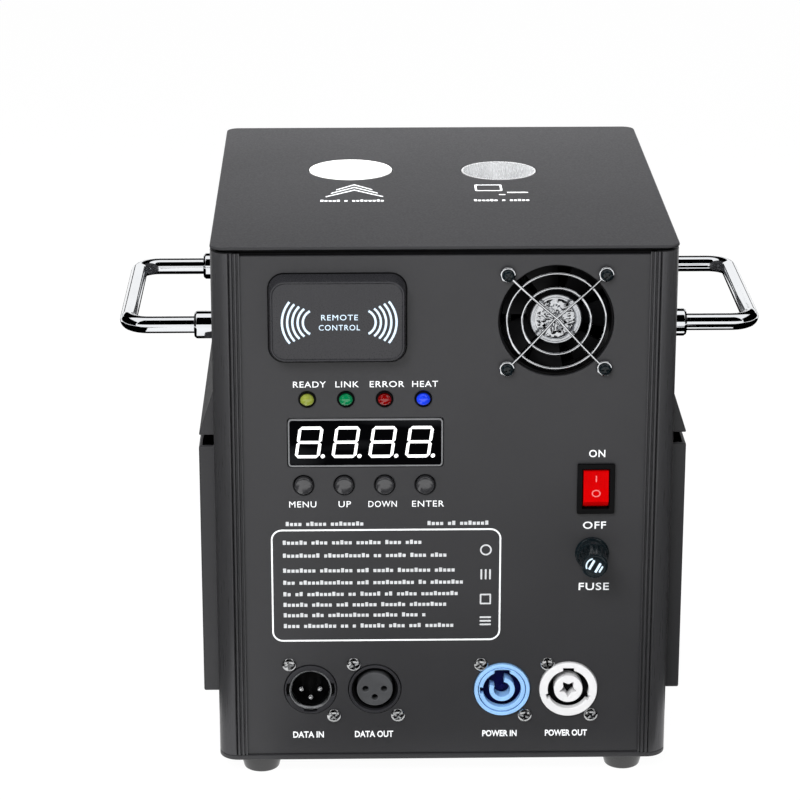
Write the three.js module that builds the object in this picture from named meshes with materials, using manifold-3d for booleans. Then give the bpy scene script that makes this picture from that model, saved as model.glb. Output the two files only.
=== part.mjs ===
// Cold spark machine: a stage effect in a sheet-metal case. A screw feeds granulate from a hopper
// into a heated chamber, and a blower throws the glowing grains out of the nozzle in the top.
// Millimetres, +Z up, control panel towards -Y. The origin is on the floor, under the middle of
// the box that the whole machine fills.

import * as THREE from "three";
import { mergeVertices } from "three/addons/utils/BufferGeometryUtils.js";
import Module from "manifold-3d";

const wasm = await Module();
wasm.setup();

// Case
const case_width = 210;
const case_depth = 230;
const case_height = 250;
const corner_radius = 9;
const base_thickness = 2.5;
const top_thickness = 3;
const panel_thickness = 2;
const panel_recess = 1.2;
const shadow_gap = 1.3;

// Clearances between pieces, and how far a cutting tool runs past what it cuts
const fit_gap = 0.3;
const overrun = 1;

// Corner posts
const post_face = 13.3;
const post_leg = 6;
const groove_depth = 3;
const flute_radius = 0.6;
const flute_pitch = 2;
const flute_margin = 1.7;
const flute_count = 3;

// Feet
const foot_diameter = 20;
const foot_height = 8;
const foot_taper = 1.6;
const foot_chamfer = 1.2;
const foot_inset_x = 19.5;
const foot_inset_y = 12;

// Side handles
const handle_rod = 8;
const handle_stand_off = 42;
const handle_setback = 60;
const handle_span = 100;
const handle_drop = 54;
const handle_bend = 10;
const collar_length = 11.5;
const collar_wall = 2.2;
const collar_step = 0.9;

// Side vent covers
const cover_reach = 7.5;
const cover_setback = 20;
const cover_bottom = 35;
const cover_clearance = 12.5;
const hood_height = 22;
const cover_slot = 5.3;
const cover_sheet = 1.5;
const window_count = 5;
const window_length = 26;
const window_height = 10;
const window_rise = 4;

// Vent slots in the rear panel
const rear_slot_length = 44;
const rear_slot_height = 4;
const rear_slot_pitch = 9;
const rear_slot_rows = 8;
const rear_slot_offset = 28;
const rear_slot_top = 50;

// Receiver cover and its board
const receiver_share = -0.2295;
const receiver_drop = 33;
const receiver_width = 61.6;
const receiver_height = 40.9;
const receiver_reach = 5.5;
const receiver_corner = 5;
const receiver_bevel = 3;
const receiver_taper = 1.6;
const receiver_wall = 2;
const receiver_board_width = 44;
const receiver_board_height = 26;
const receiver_chip = 12;
const receiver_chip_height = 2;

// Circuit boards
const board_thickness = 1.6;
const display_board_gap = 10;
const display_board_margin = 8;
const display_pillar = 5;

// Lamps, display and buttons
const lamp_row_share = -0.1707;
const lamp_pitch = 17.5;
const lamp_drop = 71.6;
const lamp_dome = 5.2;
const lamp_ring = 7.5;
const lamp_ring_height = 0.9;
const lamp_dome_height = 2.2;
const lamp_barrel = 6;
const display_share = -0.1705;
const display_drop = 92.5;
const display_width = 70.4;
const display_height = 23;
const display_reach = 0.4;
const button_row_share = -0.1731;
const button_pitch = 18.5;
const button_drop = 112.9;
const button_diameter = 9.5;
const button_reach = 2.4;
const button_chamfer = 0.7;
const button_flange = 1.2;
const button_flange_height = 1.4;
const button_stem = 4;
const button_travel = 0.8;
const tact_size = 6;
const tact_height = 3.5;

// Power switch
const switch_share = 0.3305;
const switch_drop = 115.2;
const bezel_width = 17.3;
const bezel_height = 24;
const bezel_thickness = 1.8;
const bezel_lip = 1.2;
const switch_depth = 20;
const pocket_depth = 9;
const rocker_width = 12;
const rocker_height = 17.8;
const rocker_end_rise = 4.4;
const rocker_dip = 0.7;
const rocker_end_slope = 2.5;
const rocker_end_drop = 1.7;
const rocker_keel = 10;
const rocker_keel_depth = 2.5;
const rocker_pivot_depth = 3.3;
const rocker_swing = 0.9;
const rocker_tilt = THREE.MathUtils.degToRad(8);

// Fuse holder
const fuse_share = 0.3252;
const fuse_clearance = 11.7;
const fuse_reach = 16;
const fuse_flange = 16.2;
const fuse_flange_height = 2;
const fuse_barrel = 12.4;
const fuse_length = 30;
const fuse_end_wall = 1.5;
const fuse_neck = 8.2;
const fuse_neck_length = 7;
const fuse_neck_well = 10;
const fuse_cap_base = 14;
const fuse_cap_tip = 11.2;
const fuse_cap_chamfer = 0.8;
const cartridge_diameter = 5;
const cartridge_length = 20;
const cartridge_grip = 5.7;

// Signal connectors
const signal_z = 43.5;
const signal_pair_share = -0.2233;
const signal_pitch = 30;
const signal_barrel = 24.2;
const signal_proud = 0.6;
const signal_cup = 18.6;
const signal_cup_depth = 13;
const signal_insert = 16.8;
const signal_groove = 21.6;
const signal_flange_width = 26;
const signal_flange_height = 31;
const signal_flange_thickness = 2;
const signal_rear = 24;
const signal_length = 20;
const pin_diameter = 2.4;
const pin_spread = 4.35;
const pin_rise = 0.9;
const pin_fall = 3.3;
const pin_recess = 3;

// Power connectors
const power_z = 43;
const power_pair_share = 0.205;
const power_pitch = 31;
const power_in_ring = 26;
const power_out_ring = 27;
const power_proud = 1.4;
const power_channel = 19.2;
const power_core = 12.8;
const power_cavity = 6.4;
const power_channel_depth = 12;
const power_key = 5;
const power_key_height = 1.6;
const power_side_key = 3;
const power_core_slot = 3;
const power_flange_width = 29;
const power_flange_height = 33;
const power_flange_thickness = 2.5;
const power_rear = 25;
const power_length = 24;

// Front fan
const fan_share = 0.2381;
const fan_drop = 35.2;
const fan_opening = 52;
const fan_size = 52;
const fan_bore = 50;
const fan_depth = 15;
const fan_hub = 23;
const fan_motor_plate = 24;
const fan_plate_thickness = 2.5;
const fan_strut = 3.5;
const fan_strut_count = 3;
const fan_shaft = 3;
const fan_screw_spacing = 44;
const fan_screw_hole = 3.6;
const fan_hub_setback = 1.5;
const fan_blade_count = 7;
const fan_blade_chord = 9;
const fan_blade_thickness = 1.2;
const fan_blade_angle = THREE.MathUtils.degToRad(40);
const fan_tip_gap = 0.8;
const guard_outer_ring = 44.5;
const guard_inner_ring = 31;
const guard_eye = 6;
const guard_wire = 1.8;
const guard_ring_setback = 1.2;

// Nozzle and hot chamber
const nozzle_share = -0.1981;
const nozzle_setback = 141;
const nozzle_opening = 41;
const nozzle_wall = 1.5;
const nozzle_length = 65;
const port_flange_width = 5;
const port_flange_thickness = 1.5;
const chamber_wall = 1.5;
const chamber_lap = 12;
const chamber_flange = 50;
const chamber_flange_thickness = 3;
const heater_wall = 3.6;
const heater_clearance = 5;
const jacket_wall = 10.5;

// Hopper and feed
const inlet_share = 0.1457;
const inlet_setback = 138;
const inlet_opening = 37;
const hopper_wall = 1;
const hopper_depth = 53;
const hopper_cone = 20;
const throat_bore = 12;
const throat_length = 11.8;
const barrel_diameter = 20;
const barrel_bore = 15;
const barrel_flange = 28;
const barrel_flange_thickness = 3;
const barrel_entry = 1;
const screw_shaft = 5;
const screw_pitch = 14;
const screw_gap = 0.4;
const screw_fin_angle = THREE.MathUtils.degToRad(50);
const shaft_engagement = 10;
const bracket_gap = 6;
const bracket_thickness = 2;
const bracket_half_width = 20;
const bracket_foot = 30;
const motor_diameter = 30;
const motor_side_gap = 7;
const motor_gearbox = 24;

// Blower
const blower_scroll = 64;
const blower_depth = 30;
const blower_wall = 2;
const blower_foot_height = 3.5;
const blower_foot_width = 40;
const blower_neck = 30;
const blower_neck_rise = 17;
const blower_flange_thickness = 3;
const blower_inlet = 32;
const blower_motor = 28;
const blower_motor_length = 10;
const impeller_diameter = 48;
const impeller_plate = 1.5;
const impeller_blade_count = 14;
const impeller_blade_length = 7;
const impeller_blade_thickness = 1;
const impeller_side_gap = 1.5;
const impeller_hub = 14;
const impeller_shaft = 4;
const impeller_shaft_length = 6;

// Power supply
const supply_gap = 6;
const supply_side_gap = 16.4;
const supply_rear_gap = 38;
const supply_height = 38;
const supply_setback = 62;
const terminal_depth = 10;
const terminal_height = 14;
const terminal_margin = 6;

// Main control board, on the left side panel
const control_setback = 62;
const control_length = 96;
const control_bottom = 60;
const control_height = 90;
const control_standoff = 6;
const control_pillar = 5;
const control_inset = 6;
const relay_size = 18;
const relay_height = 14;

// Numbers of sides and steps of round shapes
const round_sides = 20;
const fine_sides = 28;
const middle_sides = 14;
const small_sides = 12;
const eye_sides = 8;
const wire_sides = 4;
const rod_sides = 10;
const corner_steps = 6;
const bend_steps = 5;
const screw_steps_per_turn = 8;

// Places worked out from the sizes above
const half_width = case_width / 2;
const front_y = (fuse_reach - case_depth) / 2;
const rear_y = front_y + case_depth;
const base_top = foot_height + base_thickness;
const case_top = foot_height + case_height;
const top_under = case_top - top_thickness;
const panel_top = top_under - shadow_gap;
const panel_tuck = post_face - groove_depth + fit_gap;
const face_y = front_y + panel_recess;
const back_y = face_y + panel_thickness;
const side_face = half_width - panel_recess;
const side_inner = side_face - panel_thickness;
const board_y = back_y + display_board_gap;
const receiver_x = receiver_share * case_width;
const display_x = display_share * case_width;
const switch_x = switch_share * case_width;
const fuse_x = fuse_share * case_width;
const fuse_z = case_top - switch_drop - bezel_height / 2 - fuse_clearance - fuse_flange / 2;
const fan_x = fan_share * case_width;
const signal_in_x = signal_pair_share * case_width - signal_pitch / 2;
const signal_out_x = signal_pair_share * case_width + signal_pitch / 2;
const power_in_x = power_pair_share * case_width - power_pitch / 2;
const power_out_x = power_pair_share * case_width + power_pitch / 2;
const nozzle_x = nozzle_share * case_width;
const inlet_x = inlet_share * case_width;
const nozzle_y = front_y + nozzle_setback;
const inlet_y = front_y + inlet_setback;
const feed_z = case_top - hopper_depth - hopper_cone - throat_length - barrel_bore / 2 - fit_gap;
const blower_z = base_top + blower_foot_height + blower_scroll / 2;
const blower_x = nozzle_x + (blower_scroll - blower_neck) / 2;
const blower_top = blower_z + blower_scroll / 2 + blower_neck_rise;
const nozzle_radius = nozzle_opening / 2 - fit_gap;
const nozzle_bottom = case_top - nozzle_length;
const chamber_radius = nozzle_radius - nozzle_wall - fit_gap;
const chamber_bore_radius = chamber_radius - chamber_wall;
const heater_bottom = blower_top + chamber_flange_thickness;
const heater_top = feed_z - barrel_diameter / 2 - heater_clearance;
const hopper_radius = inlet_opening / 2 - fit_gap;
const bracket_x = inlet_x + hopper_radius + bracket_gap;

// Finishes
const looks = {
  case_paint: { color: 0x47484a, roughness: 0.55, metalness: 0.3 },
  post_paint: { color: 0x505052, roughness: 0.45, metalness: 0.4 },
  rubber: { color: 0x1b1b1c, roughness: 0.7, metalness: 0 },
  chrome: { color: 0xd8dadc, roughness: 0.12, metalness: 1 },
  steel: { color: 0xb9bbbd, roughness: 0.3, metalness: 1 },
  black_plastic: { color: 0x1c1d1e, roughness: 0.5, metalness: 0 },
  grey_plastic: { color: 0x55575a, roughness: 0.5, metalness: 0 },
  red_plastic: { color: 0xd20404, roughness: 0.35, metalness: 0 },
  blue_plastic: { color: 0x6fa8ee, roughness: 0.4, metalness: 0 },
  white_plastic: { color: 0xf0f0ee, roughness: 0.4, metalness: 0 },
  display_glass: { color: 0x08090a, roughness: 0.2, metalness: 0 },
  yellow_lamp: { color: 0x98a050, roughness: 0.25, metalness: 0 },
  green_lamp: { color: 0x00824e, roughness: 0.25, metalness: 0 },
  red_lamp: { color: 0x820000, roughness: 0.25, metalness: 0 },
  blue_lamp: { color: 0x2850dc, roughness: 0.25, metalness: 0 },
  board_green: { color: 0x1f5a36, roughness: 0.5, metalness: 0 },
  ceramic: { color: 0xe8e4da, roughness: 0.8, metalness: 0 },
  fibre: { color: 0xd8d2c2, roughness: 0.95, metalness: 0 },
  clear_glass: { color: 0xdfe8ea, roughness: 0.1, metalness: 0 },
};

// Turns a shape's own X, Y and extrusion direction to lie across the named axis of the machine.
const along = {
  x: new THREE.Matrix4().set(0, 0, 1, 0, 1, 0, 0, 0, 0, 1, 0, 0, 0, 0, 0, 1),
  y: new THREE.Matrix4().set(1, 0, 0, 0, 0, 0, -1, 0, 0, 1, 0, 0, 0, 0, 0, 1),
  z: new THREE.Matrix4(),
};

// Turns a lathe, whose axis is its own Y, to stand along the named axis of the machine.
const about = {
  x: new THREE.Matrix4().set(0, 1, 0, 0, 1, 0, 0, 0, 0, 0, -1, 0, 0, 0, 0, 1),
  y: new THREE.Matrix4(),
  z: new THREE.Matrix4().set(1, 0, 0, 0, 0, 0, -1, 0, 0, 1, 0, 0, 0, 0, 0, 1),
};

function solid(geometry) {
  const bare = new THREE.BufferGeometry();
  bare.setAttribute("position", geometry.getAttribute("position"));
  bare.setIndex(geometry.index);
  const merged = mergeVertices(bare);
  const vertProperties = merged.getAttribute("position").array;
  const triVerts = new Uint32Array(merged.index.array);
  return new wasm.Manifold(new wasm.Mesh({ numProp: 3, vertProperties, triVerts }));
}

function join(first, ...others) {
  return others.reduce((whole, other) => whole.add(other), first);
}

function cut(first, ...tools) {
  return tools.reduce((rest, tool) => rest.subtract(tool), first);
}

// A box between two limits on each axis.
function block(x_low, x_high, y_low, y_high, z_low, z_high) {
  const geometry = new THREE.BoxGeometry(1, 1, 1);
  const position = geometry.getAttribute("position");
  for (let i = 0; i < position.count; i += 1) {
    const x = position.getX(i) < 0 ? x_low : x_high;
    const y = position.getY(i) < 0 ? y_low : y_high;
    const z = position.getZ(i) < 0 ? z_low : z_high;
    position.setXYZ(i, x, y, z);
  }
  return solid(geometry);
}

// An outline carried straight along an axis, from one place to another. The outline is drawn in
// (x, y) for axis z, in (x, z) for axis y and in (y, z) for axis x.
function prism(axis, shape, from, to, arc_steps = corner_steps) {
  const depth = to - from;
  const curveSegments = arc_steps / 2;
  const geometry = new THREE.ExtrudeGeometry(shape, { depth, curveSegments, bevelEnabled: false });
  const position = geometry.getAttribute("position");
  const [low, high] = axis === "y" ? [-to, -from] : [from, to];
  for (let i = 0; i < position.count; i += 1) {
    position.setZ(i, position.getZ(i) < depth / 2 ? low : high);
  }
  return solid(geometry.applyMatrix4(along[axis]));
}

// A profile of [radius, place along the axis] points turned about an axis through a centre, which
// is (x, y) for axis z, (x, z) for axis y and (y, z) for axis x. It starts and ends on the axis.
function turned(axis, centre, profile, sides = round_sides) {
  const points = profile.map(([radius, place]) => new THREE.Vector2(radius, place));
  if (!THREE.ShapeUtils.isClockWise(points)) points.reverse();
  points.reverse();
  const [first, last] = [points[0], points[points.length - 1]];
  if (first.x > 0 || last.x > 0) points.push(first.clone());
  const geometry = new THREE.LatheGeometry(points, sides).applyMatrix4(about[axis]);
  const [a, b] = centre;
  if (axis === "x") geometry.translate(0, a, b);
  if (axis === "y") geometry.translate(a, 0, b);
  if (axis === "z") geometry.translate(a, b, 0);
  return solid(geometry);
}

// A plain round bar or hole along an axis.
function bar(axis, centre, radius, from, to, sides = round_sides) {
  return turned(axis, centre, [[0, from], [radius, from], [radius, to], [0, to]], sides);
}

// A round ring with a square section.
function ring(axis, centre, inner, outer, from, to, sides = round_sides) {
  return turned(axis, centre, [[inner, from], [outer, from], [outer, to], [inner, to]], sides);
}

function outline(points) {
  return new THREE.Shape(points.map(([a, b]) => new THREE.Vector2(a, b)));
}

function roundedOutline(low_a, high_a, low_b, high_b, radius) {
  const shape = new THREE.Shape();
  const quarter = Math.PI / 2;
  shape.absarc(high_a - radius, low_b + radius, radius, -quarter, 0, false);
  shape.absarc(high_a - radius, high_b - radius, radius, 0, quarter, false);
  shape.absarc(low_a + radius, high_b - radius, radius, quarter, 2 * quarter, false);
  shape.absarc(low_a + radius, low_b + radius, radius, 2 * quarter, 3 * quarter, false);
  return shape;
}

function arcPoints(a, b, radius, from, to, steps) {
  return Array.from({ length: steps + 1 }, (_, i) => {
    const angle = from + ((to - from) * i) / steps;
    return [a + radius * Math.cos(angle), b + radius * Math.sin(angle)];
  });
}

// A path whose steps are shared evenly between its curves, so that short bends stay round.
class SteppedPath extends THREE.CurvePath {
  getPoint(t) {
    const count = this.curves.length;
    const i = Math.min(Math.floor(t * count), count - 1);
    return this.curves[i].getPoint(t * count - i);
  }

  getTangentAt(t) {
    return this.getTangent(t);
  }
}

// A round wire or rod along a path.
function tube(path, radius, steps, sides = wire_sides) {
  const section = new THREE.Shape().absarc(0, 0, radius, 0, 2 * Math.PI, false);
  const options = { extrudePath: path, steps, curveSegments: sides / 2 };
  return solid(new THREE.ExtrudeGeometry(section, options));
}

// A closed wire ring that lies across the Y axis.
function wireRing(x, y, z, diameter, sides = round_sides) {
  const torus = new THREE.TorusGeometry(diameter / 2, guard_wire / 2, wire_sides, sides);
  return solid(torus.applyMatrix4(along.y).translate(x, y, z));
}

function piece(name, body, look) {
  const { vertProperties, triVerts, numProp } = body.getMesh();
  const geometry = new THREE.BufferGeometry();
  geometry.setAttribute("position", new THREE.BufferAttribute(vertProperties, numProp));
  geometry.setIndex(new THREE.BufferAttribute(triVerts, 1));
  geometry.computeVertexNormals();
  const material = new THREE.MeshStandardMaterial({ ...looks[look], flatShading: true });
  const mesh = new THREE.Mesh(geometry, material);
  mesh.name = name;
  return mesh;
}

// The sides of the machine: left is -X, right is +X, front is -Y, rear is +Y.
const sides = [["left", -1], ["right", 1]];
const ends = [["front", -1], ["rear", 1]];

const lamps = [
  ["lamp_ready", "yellow_lamp"], ["lamp_link", "green_lamp"],
  ["lamp_error", "red_lamp"], ["lamp_heat", "blue_lamp"],
];
const buttons = ["button_menu", "button_up", "button_down", "button_enter"];

function endPlace(end, setback) {
  return end < 0 ? front_y + setback : rear_y - setback;
}

// Case

function basePlate() {
  const plate = roundedOutline(-half_width, half_width, front_y, rear_y, corner_radius);
  return piece("base_plate", prism("z", plate, foot_height, base_top), "case_paint");
}

function topPlate() {
  const plate = roundedOutline(-half_width, half_width, front_y, rear_y, corner_radius);
  const body = cut(
    prism("z", plate, top_under, case_top),
    bar("z", [nozzle_x, nozzle_y], nozzle_opening / 2, top_under - overrun, case_top + overrun),
    bar("z", [inlet_x, inlet_y], inlet_opening / 2, top_under - overrun, case_top + overrun),
  );
  return piece("top_plate", body, "case_paint");
}

// A post is drawn by how far each point lies in from the side face and from the end face.
function cornerPost(side_name, side, end_name, end) {
  const place = ([u, v]) => [side * (half_width - u), endPlace(end, v)];
  const lip = panel_recess - fit_gap;
  const groove = panel_recess + panel_thickness + fit_gap;
  const floor = post_face - groove_depth;
  const round = arcPoints(
    corner_radius, corner_radius, corner_radius, -Math.PI / 2, -Math.PI, corner_steps,
  );
  const points = [
    [post_face, 0], ...round, [0, post_face],
    [lip, post_face], [lip, floor], [groove, floor], [groove, post_face],
    [post_leg, post_face], [post_leg, post_leg], [post_face, post_leg],
    [post_face, groove], [floor, groove], [floor, lip], [post_face, lip],
  ];
  const flutes = [];
  for (let i = 0; i < flute_count; i += 1) {
    const across = post_face - flute_margin - i * flute_pitch;
    for (const centre of [[across, 0], [0, across]]) {
      flutes.push(bar("z", place(centre), flute_radius, base_top - overrun, top_under + overrun, eye_sides));
    }
  }
  const body = cut(prism("z", outline(points.map(place)), base_top, top_under), ...flutes);
  return piece(`corner_post_${end_name}_${side_name}`, body, "post_paint");
}

function sidePanel(side_name, side) {
  const [low, high] = side < 0 ? [-side_face, -side_inner] : [side_inner, side_face];
  const body = cut(
    block(low, high, front_y + panel_tuck, rear_y - panel_tuck, base_top, panel_top),
    ...ventWindows(low - overrun, high + overrun),
  );
  return piece(`side_panel_${side_name}`, body, "case_paint");
}

function rearPanel() {
  const y_high = rear_y - panel_recess;
  const y_low = y_high - panel_thickness;
  const half = half_width - panel_tuck;
  const slots = [];
  for (let row = 0; row < rear_slot_rows; row += 1) {
    const z_high = case_top - rear_slot_top - row * rear_slot_pitch;
    for (const x of [-rear_slot_offset, rear_slot_offset]) {
      const reach = rear_slot_length / 2;
      slots.push(block(
        x - reach, x + reach, y_low - overrun, y_high + overrun, z_high - rear_slot_height, z_high,
      ));
    }
  }
  const body = cut(block(-half, half, y_low, y_high, base_top, panel_top), ...slots);
  return piece("rear_panel", body, "case_paint");
}

function controlPanel() {
  const half = half_width - panel_tuck;
  const through = [face_y - overrun, back_y + overrun];
  const hole = (x, z, radius, count = round_sides) => bar("y", [x, z], radius, ...through, count);
  const slot = (x, z, width, height) => block(
    x - width / 2, x + width / 2, ...through, z - height / 2, z + height / 2,
  );
  const body = cut(
    block(-half, half, face_y, back_y, base_top, panel_top),
    hole(fan_x, case_top - fan_drop, fan_opening / 2, fine_sides),
    ...lampPlaces().map(([x, z]) => hole(x, z, lamp_barrel / 2 + fit_gap, small_sides)),
    ...buttonPlaces().map(([x, z]) => hole(x, z, button_diameter / 2 + fit_gap, middle_sides)),
    slot(display_x, case_top - display_drop, display_width + 2 * fit_gap, display_height + 2 * fit_gap),
    slot(
      switch_x, case_top - switch_drop,
      bezel_width - 2 * bezel_lip + 2 * fit_gap, bezel_height - 2 * bezel_lip + 2 * fit_gap,
    ),
    hole(fuse_x, fuse_z, fuse_barrel / 2 + fit_gap, middle_sides),
    hole(signal_in_x, signal_z, signal_barrel / 2 + fit_gap),
    hole(signal_out_x, signal_z, signal_barrel / 2 + fit_gap),
    hole(power_in_x, power_z, power_in_ring / 2 + fit_gap),
    hole(power_out_x, power_z, power_out_ring / 2 + fit_gap),
  );
  return piece("control_panel", body, "case_paint");
}

function foot(side_name, side, end_name, end) {
  const centre = [side * (half_width - foot_inset_x), endPlace(end, foot_inset_y)];
  const radius = foot_diameter / 2;
  const body = turned("z", centre, [
    [0, 0], [radius - foot_taper - foot_chamfer, 0], [radius - foot_taper, foot_chamfer],
    [radius, foot_height], [0, foot_height],
  ]);
  return piece(`foot_${end_name}_${side_name}`, body, "rubber");
}

// Handles and vent covers on the two sides

const handle_z = case_top - handle_drop;
const handle_ends = [front_y + handle_setback, front_y + handle_setback + handle_span];
const collar_radius = handle_rod / 2 + fit_gap + collar_wall;
const cover_top = handle_z - collar_radius - cover_clearance;
const hood_bottom = cover_top - hood_height;

function handle(side_name, side) {
  const [near, far] = handle_ends;
  const foot_x = side * (side_face + fit_gap);
  const bar_x = side * (half_width + handle_stand_off);
  const bend_x = bar_x - side * handle_bend;
  const at = (x, y) => new THREE.Vector3(x, y, handle_z);
  const path = new SteppedPath();
  path.add(new THREE.LineCurve3(at(foot_x, near), at(bend_x, near)));
  path.add(new THREE.QuadraticBezierCurve3(
    at(bend_x, near), at(bar_x, near), at(bar_x, near + handle_bend),
  ));
  path.add(new THREE.LineCurve3(at(bar_x, near + handle_bend), at(bar_x, far - handle_bend)));
  path.add(new THREE.QuadraticBezierCurve3(
    at(bar_x, far - handle_bend), at(bar_x, far), at(bend_x, far),
  ));
  path.add(new THREE.LineCurve3(at(bend_x, far), at(foot_x, far)));
  const steps = path.curves.length * bend_steps;
  return piece(`handle_${side_name}`, tube(path, handle_rod / 2, steps, rod_sides), "chrome");
}

function handleCollar(side_name, side, end_name, y) {
  const bore = handle_rod / 2 + fit_gap;
  const foot_x = side * side_face;
  const step_x = side * (side_face + collar_length - 2 * collar_wall);
  const tip_x = side * (side_face + collar_length);
  const body = turned("x", [y, handle_z], [
    [bore, foot_x], [collar_radius, foot_x], [collar_radius, step_x],
    [collar_radius - collar_step, step_x], [collar_radius - collar_step, tip_x], [bore, tip_x],
  ], middle_sides);
  return piece(`handle_collar_${end_name}_${side_name}`, body, "chrome");
}

function ventWindows(x_low, x_high) {
  const room = case_depth - 2 * cover_setback - 2 * cover_sheet;
  const pitch = room / window_count;
  const windows = [];
  for (let i = 0; i < window_count; i += 1) {
    const y = front_y + cover_setback + cover_sheet + (i + 1 / 2) * pitch;
    const reach = window_length / 2;
    const z_low = hood_bottom + window_rise;
    windows.push(block(x_low, x_high, y - reach, y + reach, z_low, z_low + window_height));
  }
  return windows;
}

// One pressed sheet: a sloping hood over an open slot, and a shallow box below it.
function ventCover(side_name, side) {
  const y_low = front_y + cover_setback;
  const y_high = rear_y - cover_setback;
  const slot_bottom = hood_bottom - cover_slot;
  const panel = side_face;
  const sheet = side_face + cover_sheet;
  const outer = half_width + cover_reach;
  const inner = outer - cover_sheet;
  const slope = (sheet - outer) / hood_height;
  const shape = (points) => outline(points.map(([x, z]) => [side * x, z]));
  const inside_top = hood_bottom + (sheet - inner) / slope;
  const body = cut(
    prism("y", shape([
      [panel, cover_bottom], [outer, cover_bottom], [outer, slot_bottom], [sheet, slot_bottom],
      [sheet, hood_bottom], [outer, hood_bottom], [sheet, cover_top], [panel, cover_top],
    ]), y_low, y_high),
    prism("y", shape([
      [sheet, cover_bottom + cover_sheet], [inner, cover_bottom + cover_sheet],
      [inner, slot_bottom + overrun], [sheet, slot_bottom + overrun],
    ]), y_low + cover_sheet, y_high - cover_sheet),
    prism("y", shape([
      [sheet, hood_bottom - overrun], [inner, hood_bottom - overrun], [inner, hood_bottom],
      [sheet, inside_top],
    ]), y_low + cover_sheet, y_high - cover_sheet),
    ...ventWindows(side * (panel + sheet) / 2 - cover_sheet, side * (panel + sheet) / 2 + cover_sheet),
  );
  return piece(`vent_cover_${side_name}`, body, "case_paint");
}

// Receiver, upper left of the control panel

function receiverCover() {
  const z = case_top - receiver_drop;
  const half_w = receiver_width / 2 - receiver_taper;
  const half_h = receiver_height / 2 - receiver_taper;
  const front = front_y - receiver_reach;
  const depth = face_y - front;
  const shape = roundedOutline(
    receiver_x - half_w, receiver_x + half_w, z - half_h, z + half_h, receiver_corner - receiver_taper,
  );
  const bevelled = new THREE.ExtrudeGeometry(shape, {
    depth, curveSegments: corner_steps / 2, bevelEnabled: true, bevelSegments: 2,
    bevelThickness: receiver_bevel, bevelSize: receiver_taper,
  });
  bevelled.applyMatrix4(along.y).translate(0, face_y + receiver_bevel, 0);
  const inset = receiver_taper + receiver_wall;
  const inside = roundedOutline(
    receiver_x - receiver_width / 2 + inset, receiver_x + receiver_width / 2 - inset,
    z - receiver_height / 2 + inset, z + receiver_height / 2 - inset, receiver_corner - receiver_taper,
  );
  const body = cut(
    solid(bevelled),
    block(
      receiver_x - receiver_width, receiver_x + receiver_width, face_y, face_y + 3 * receiver_bevel,
      z - receiver_height, z + receiver_height,
    ),
    prism("y", inside, front + receiver_wall, face_y + overrun),
  );
  return piece("receiver_cover", body, "case_paint");
}

function receiverBoard() {
  const z = case_top - receiver_drop;
  const half_w = receiver_board_width / 2;
  const half_h = receiver_board_height / 2;
  const board_front = face_y - board_thickness;
  const chip = receiver_chip / 2;
  const body = join(
    block(receiver_x - half_w, receiver_x + half_w, board_front, face_y, z - half_h, z + half_h),
    block(
      receiver_x - chip, receiver_x + chip, board_front - receiver_chip_height, face_y,
      z - chip, z + chip,
    ),
  );
  return piece("receiver_board", body, "board_green");
}

// Lamps, display and buttons, all carried by one board behind the panel

function rowPlaces(names, row_share, pitch, drop) {
  const first_x = row_share * case_width - ((names.length - 1) / 2) * pitch;
  return names.map((_, i) => [first_x + i * pitch, case_top - drop]);
}

function lampPlaces() {
  return rowPlaces(lamps, lamp_row_share, lamp_pitch, lamp_drop);
}

function buttonPlaces() {
  return rowPlaces(buttons, button_row_share, button_pitch, button_drop);
}

function lamp(name, centre, look) {
  const ring_front = face_y - lamp_ring_height;
  const dome = lamp_dome / 2;
  const tip = ring_front - lamp_dome_height;
  const shoulder = ring_front - lamp_dome_height / 2;
  const body = turned("y", centre, [
    [0, tip], [dome / 2, tip + lamp_dome_height / 8], [dome * Math.sqrt(3) / 2, shoulder],
    [dome, ring_front], [lamp_ring / 2, ring_front], [lamp_ring / 2, face_y],
    [lamp_barrel / 2, face_y], [lamp_barrel / 2, board_y - fit_gap], [0, board_y - fit_gap],
  ], small_sides);
  return piece(name, body, look);
}

function displayModule() {
  const z = case_top - display_drop;
  const body = block(
    display_x - display_width / 2, display_x + display_width / 2, face_y - display_reach, board_y,
    z - display_height / 2, z + display_height / 2,
  );
  return piece("display_module", body, "display_glass");
}

function displayBoard() {
  const margin = display_board_margin;
  const xs = [...lampPlaces(), ...buttonPlaces()].map(([x]) => x);
  const x_low = Math.min(...xs, display_x - display_width / 2) - margin;
  const x_high = Math.max(...xs, display_x + display_width / 2) + margin;
  const z_low = case_top - button_drop - margin;
  const z_high = case_top - lamp_drop + margin;
  const pillar = display_pillar / 2;
  const pillars = [];
  for (const x of [x_low + pillar, x_high - pillar]) {
    for (const z of [z_low + pillar, z_high - pillar]) {
      pillars.push(bar("y", [x, z], pillar, back_y, board_y + board_thickness / 2, small_sides));
    }
  }
  const tacts = buttonPlaces().map(([x, z]) => block(
    x - tact_size / 2, x + tact_size / 2, board_y - tact_height, board_y + board_thickness / 2,
    z - tact_size / 2, z + tact_size / 2,
  ));
  const board = block(x_low, x_high, board_y, board_y + board_thickness, z_low, z_high);
  return piece("display_board", join(board, ...pillars, ...tacts), "board_green");
}

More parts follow.
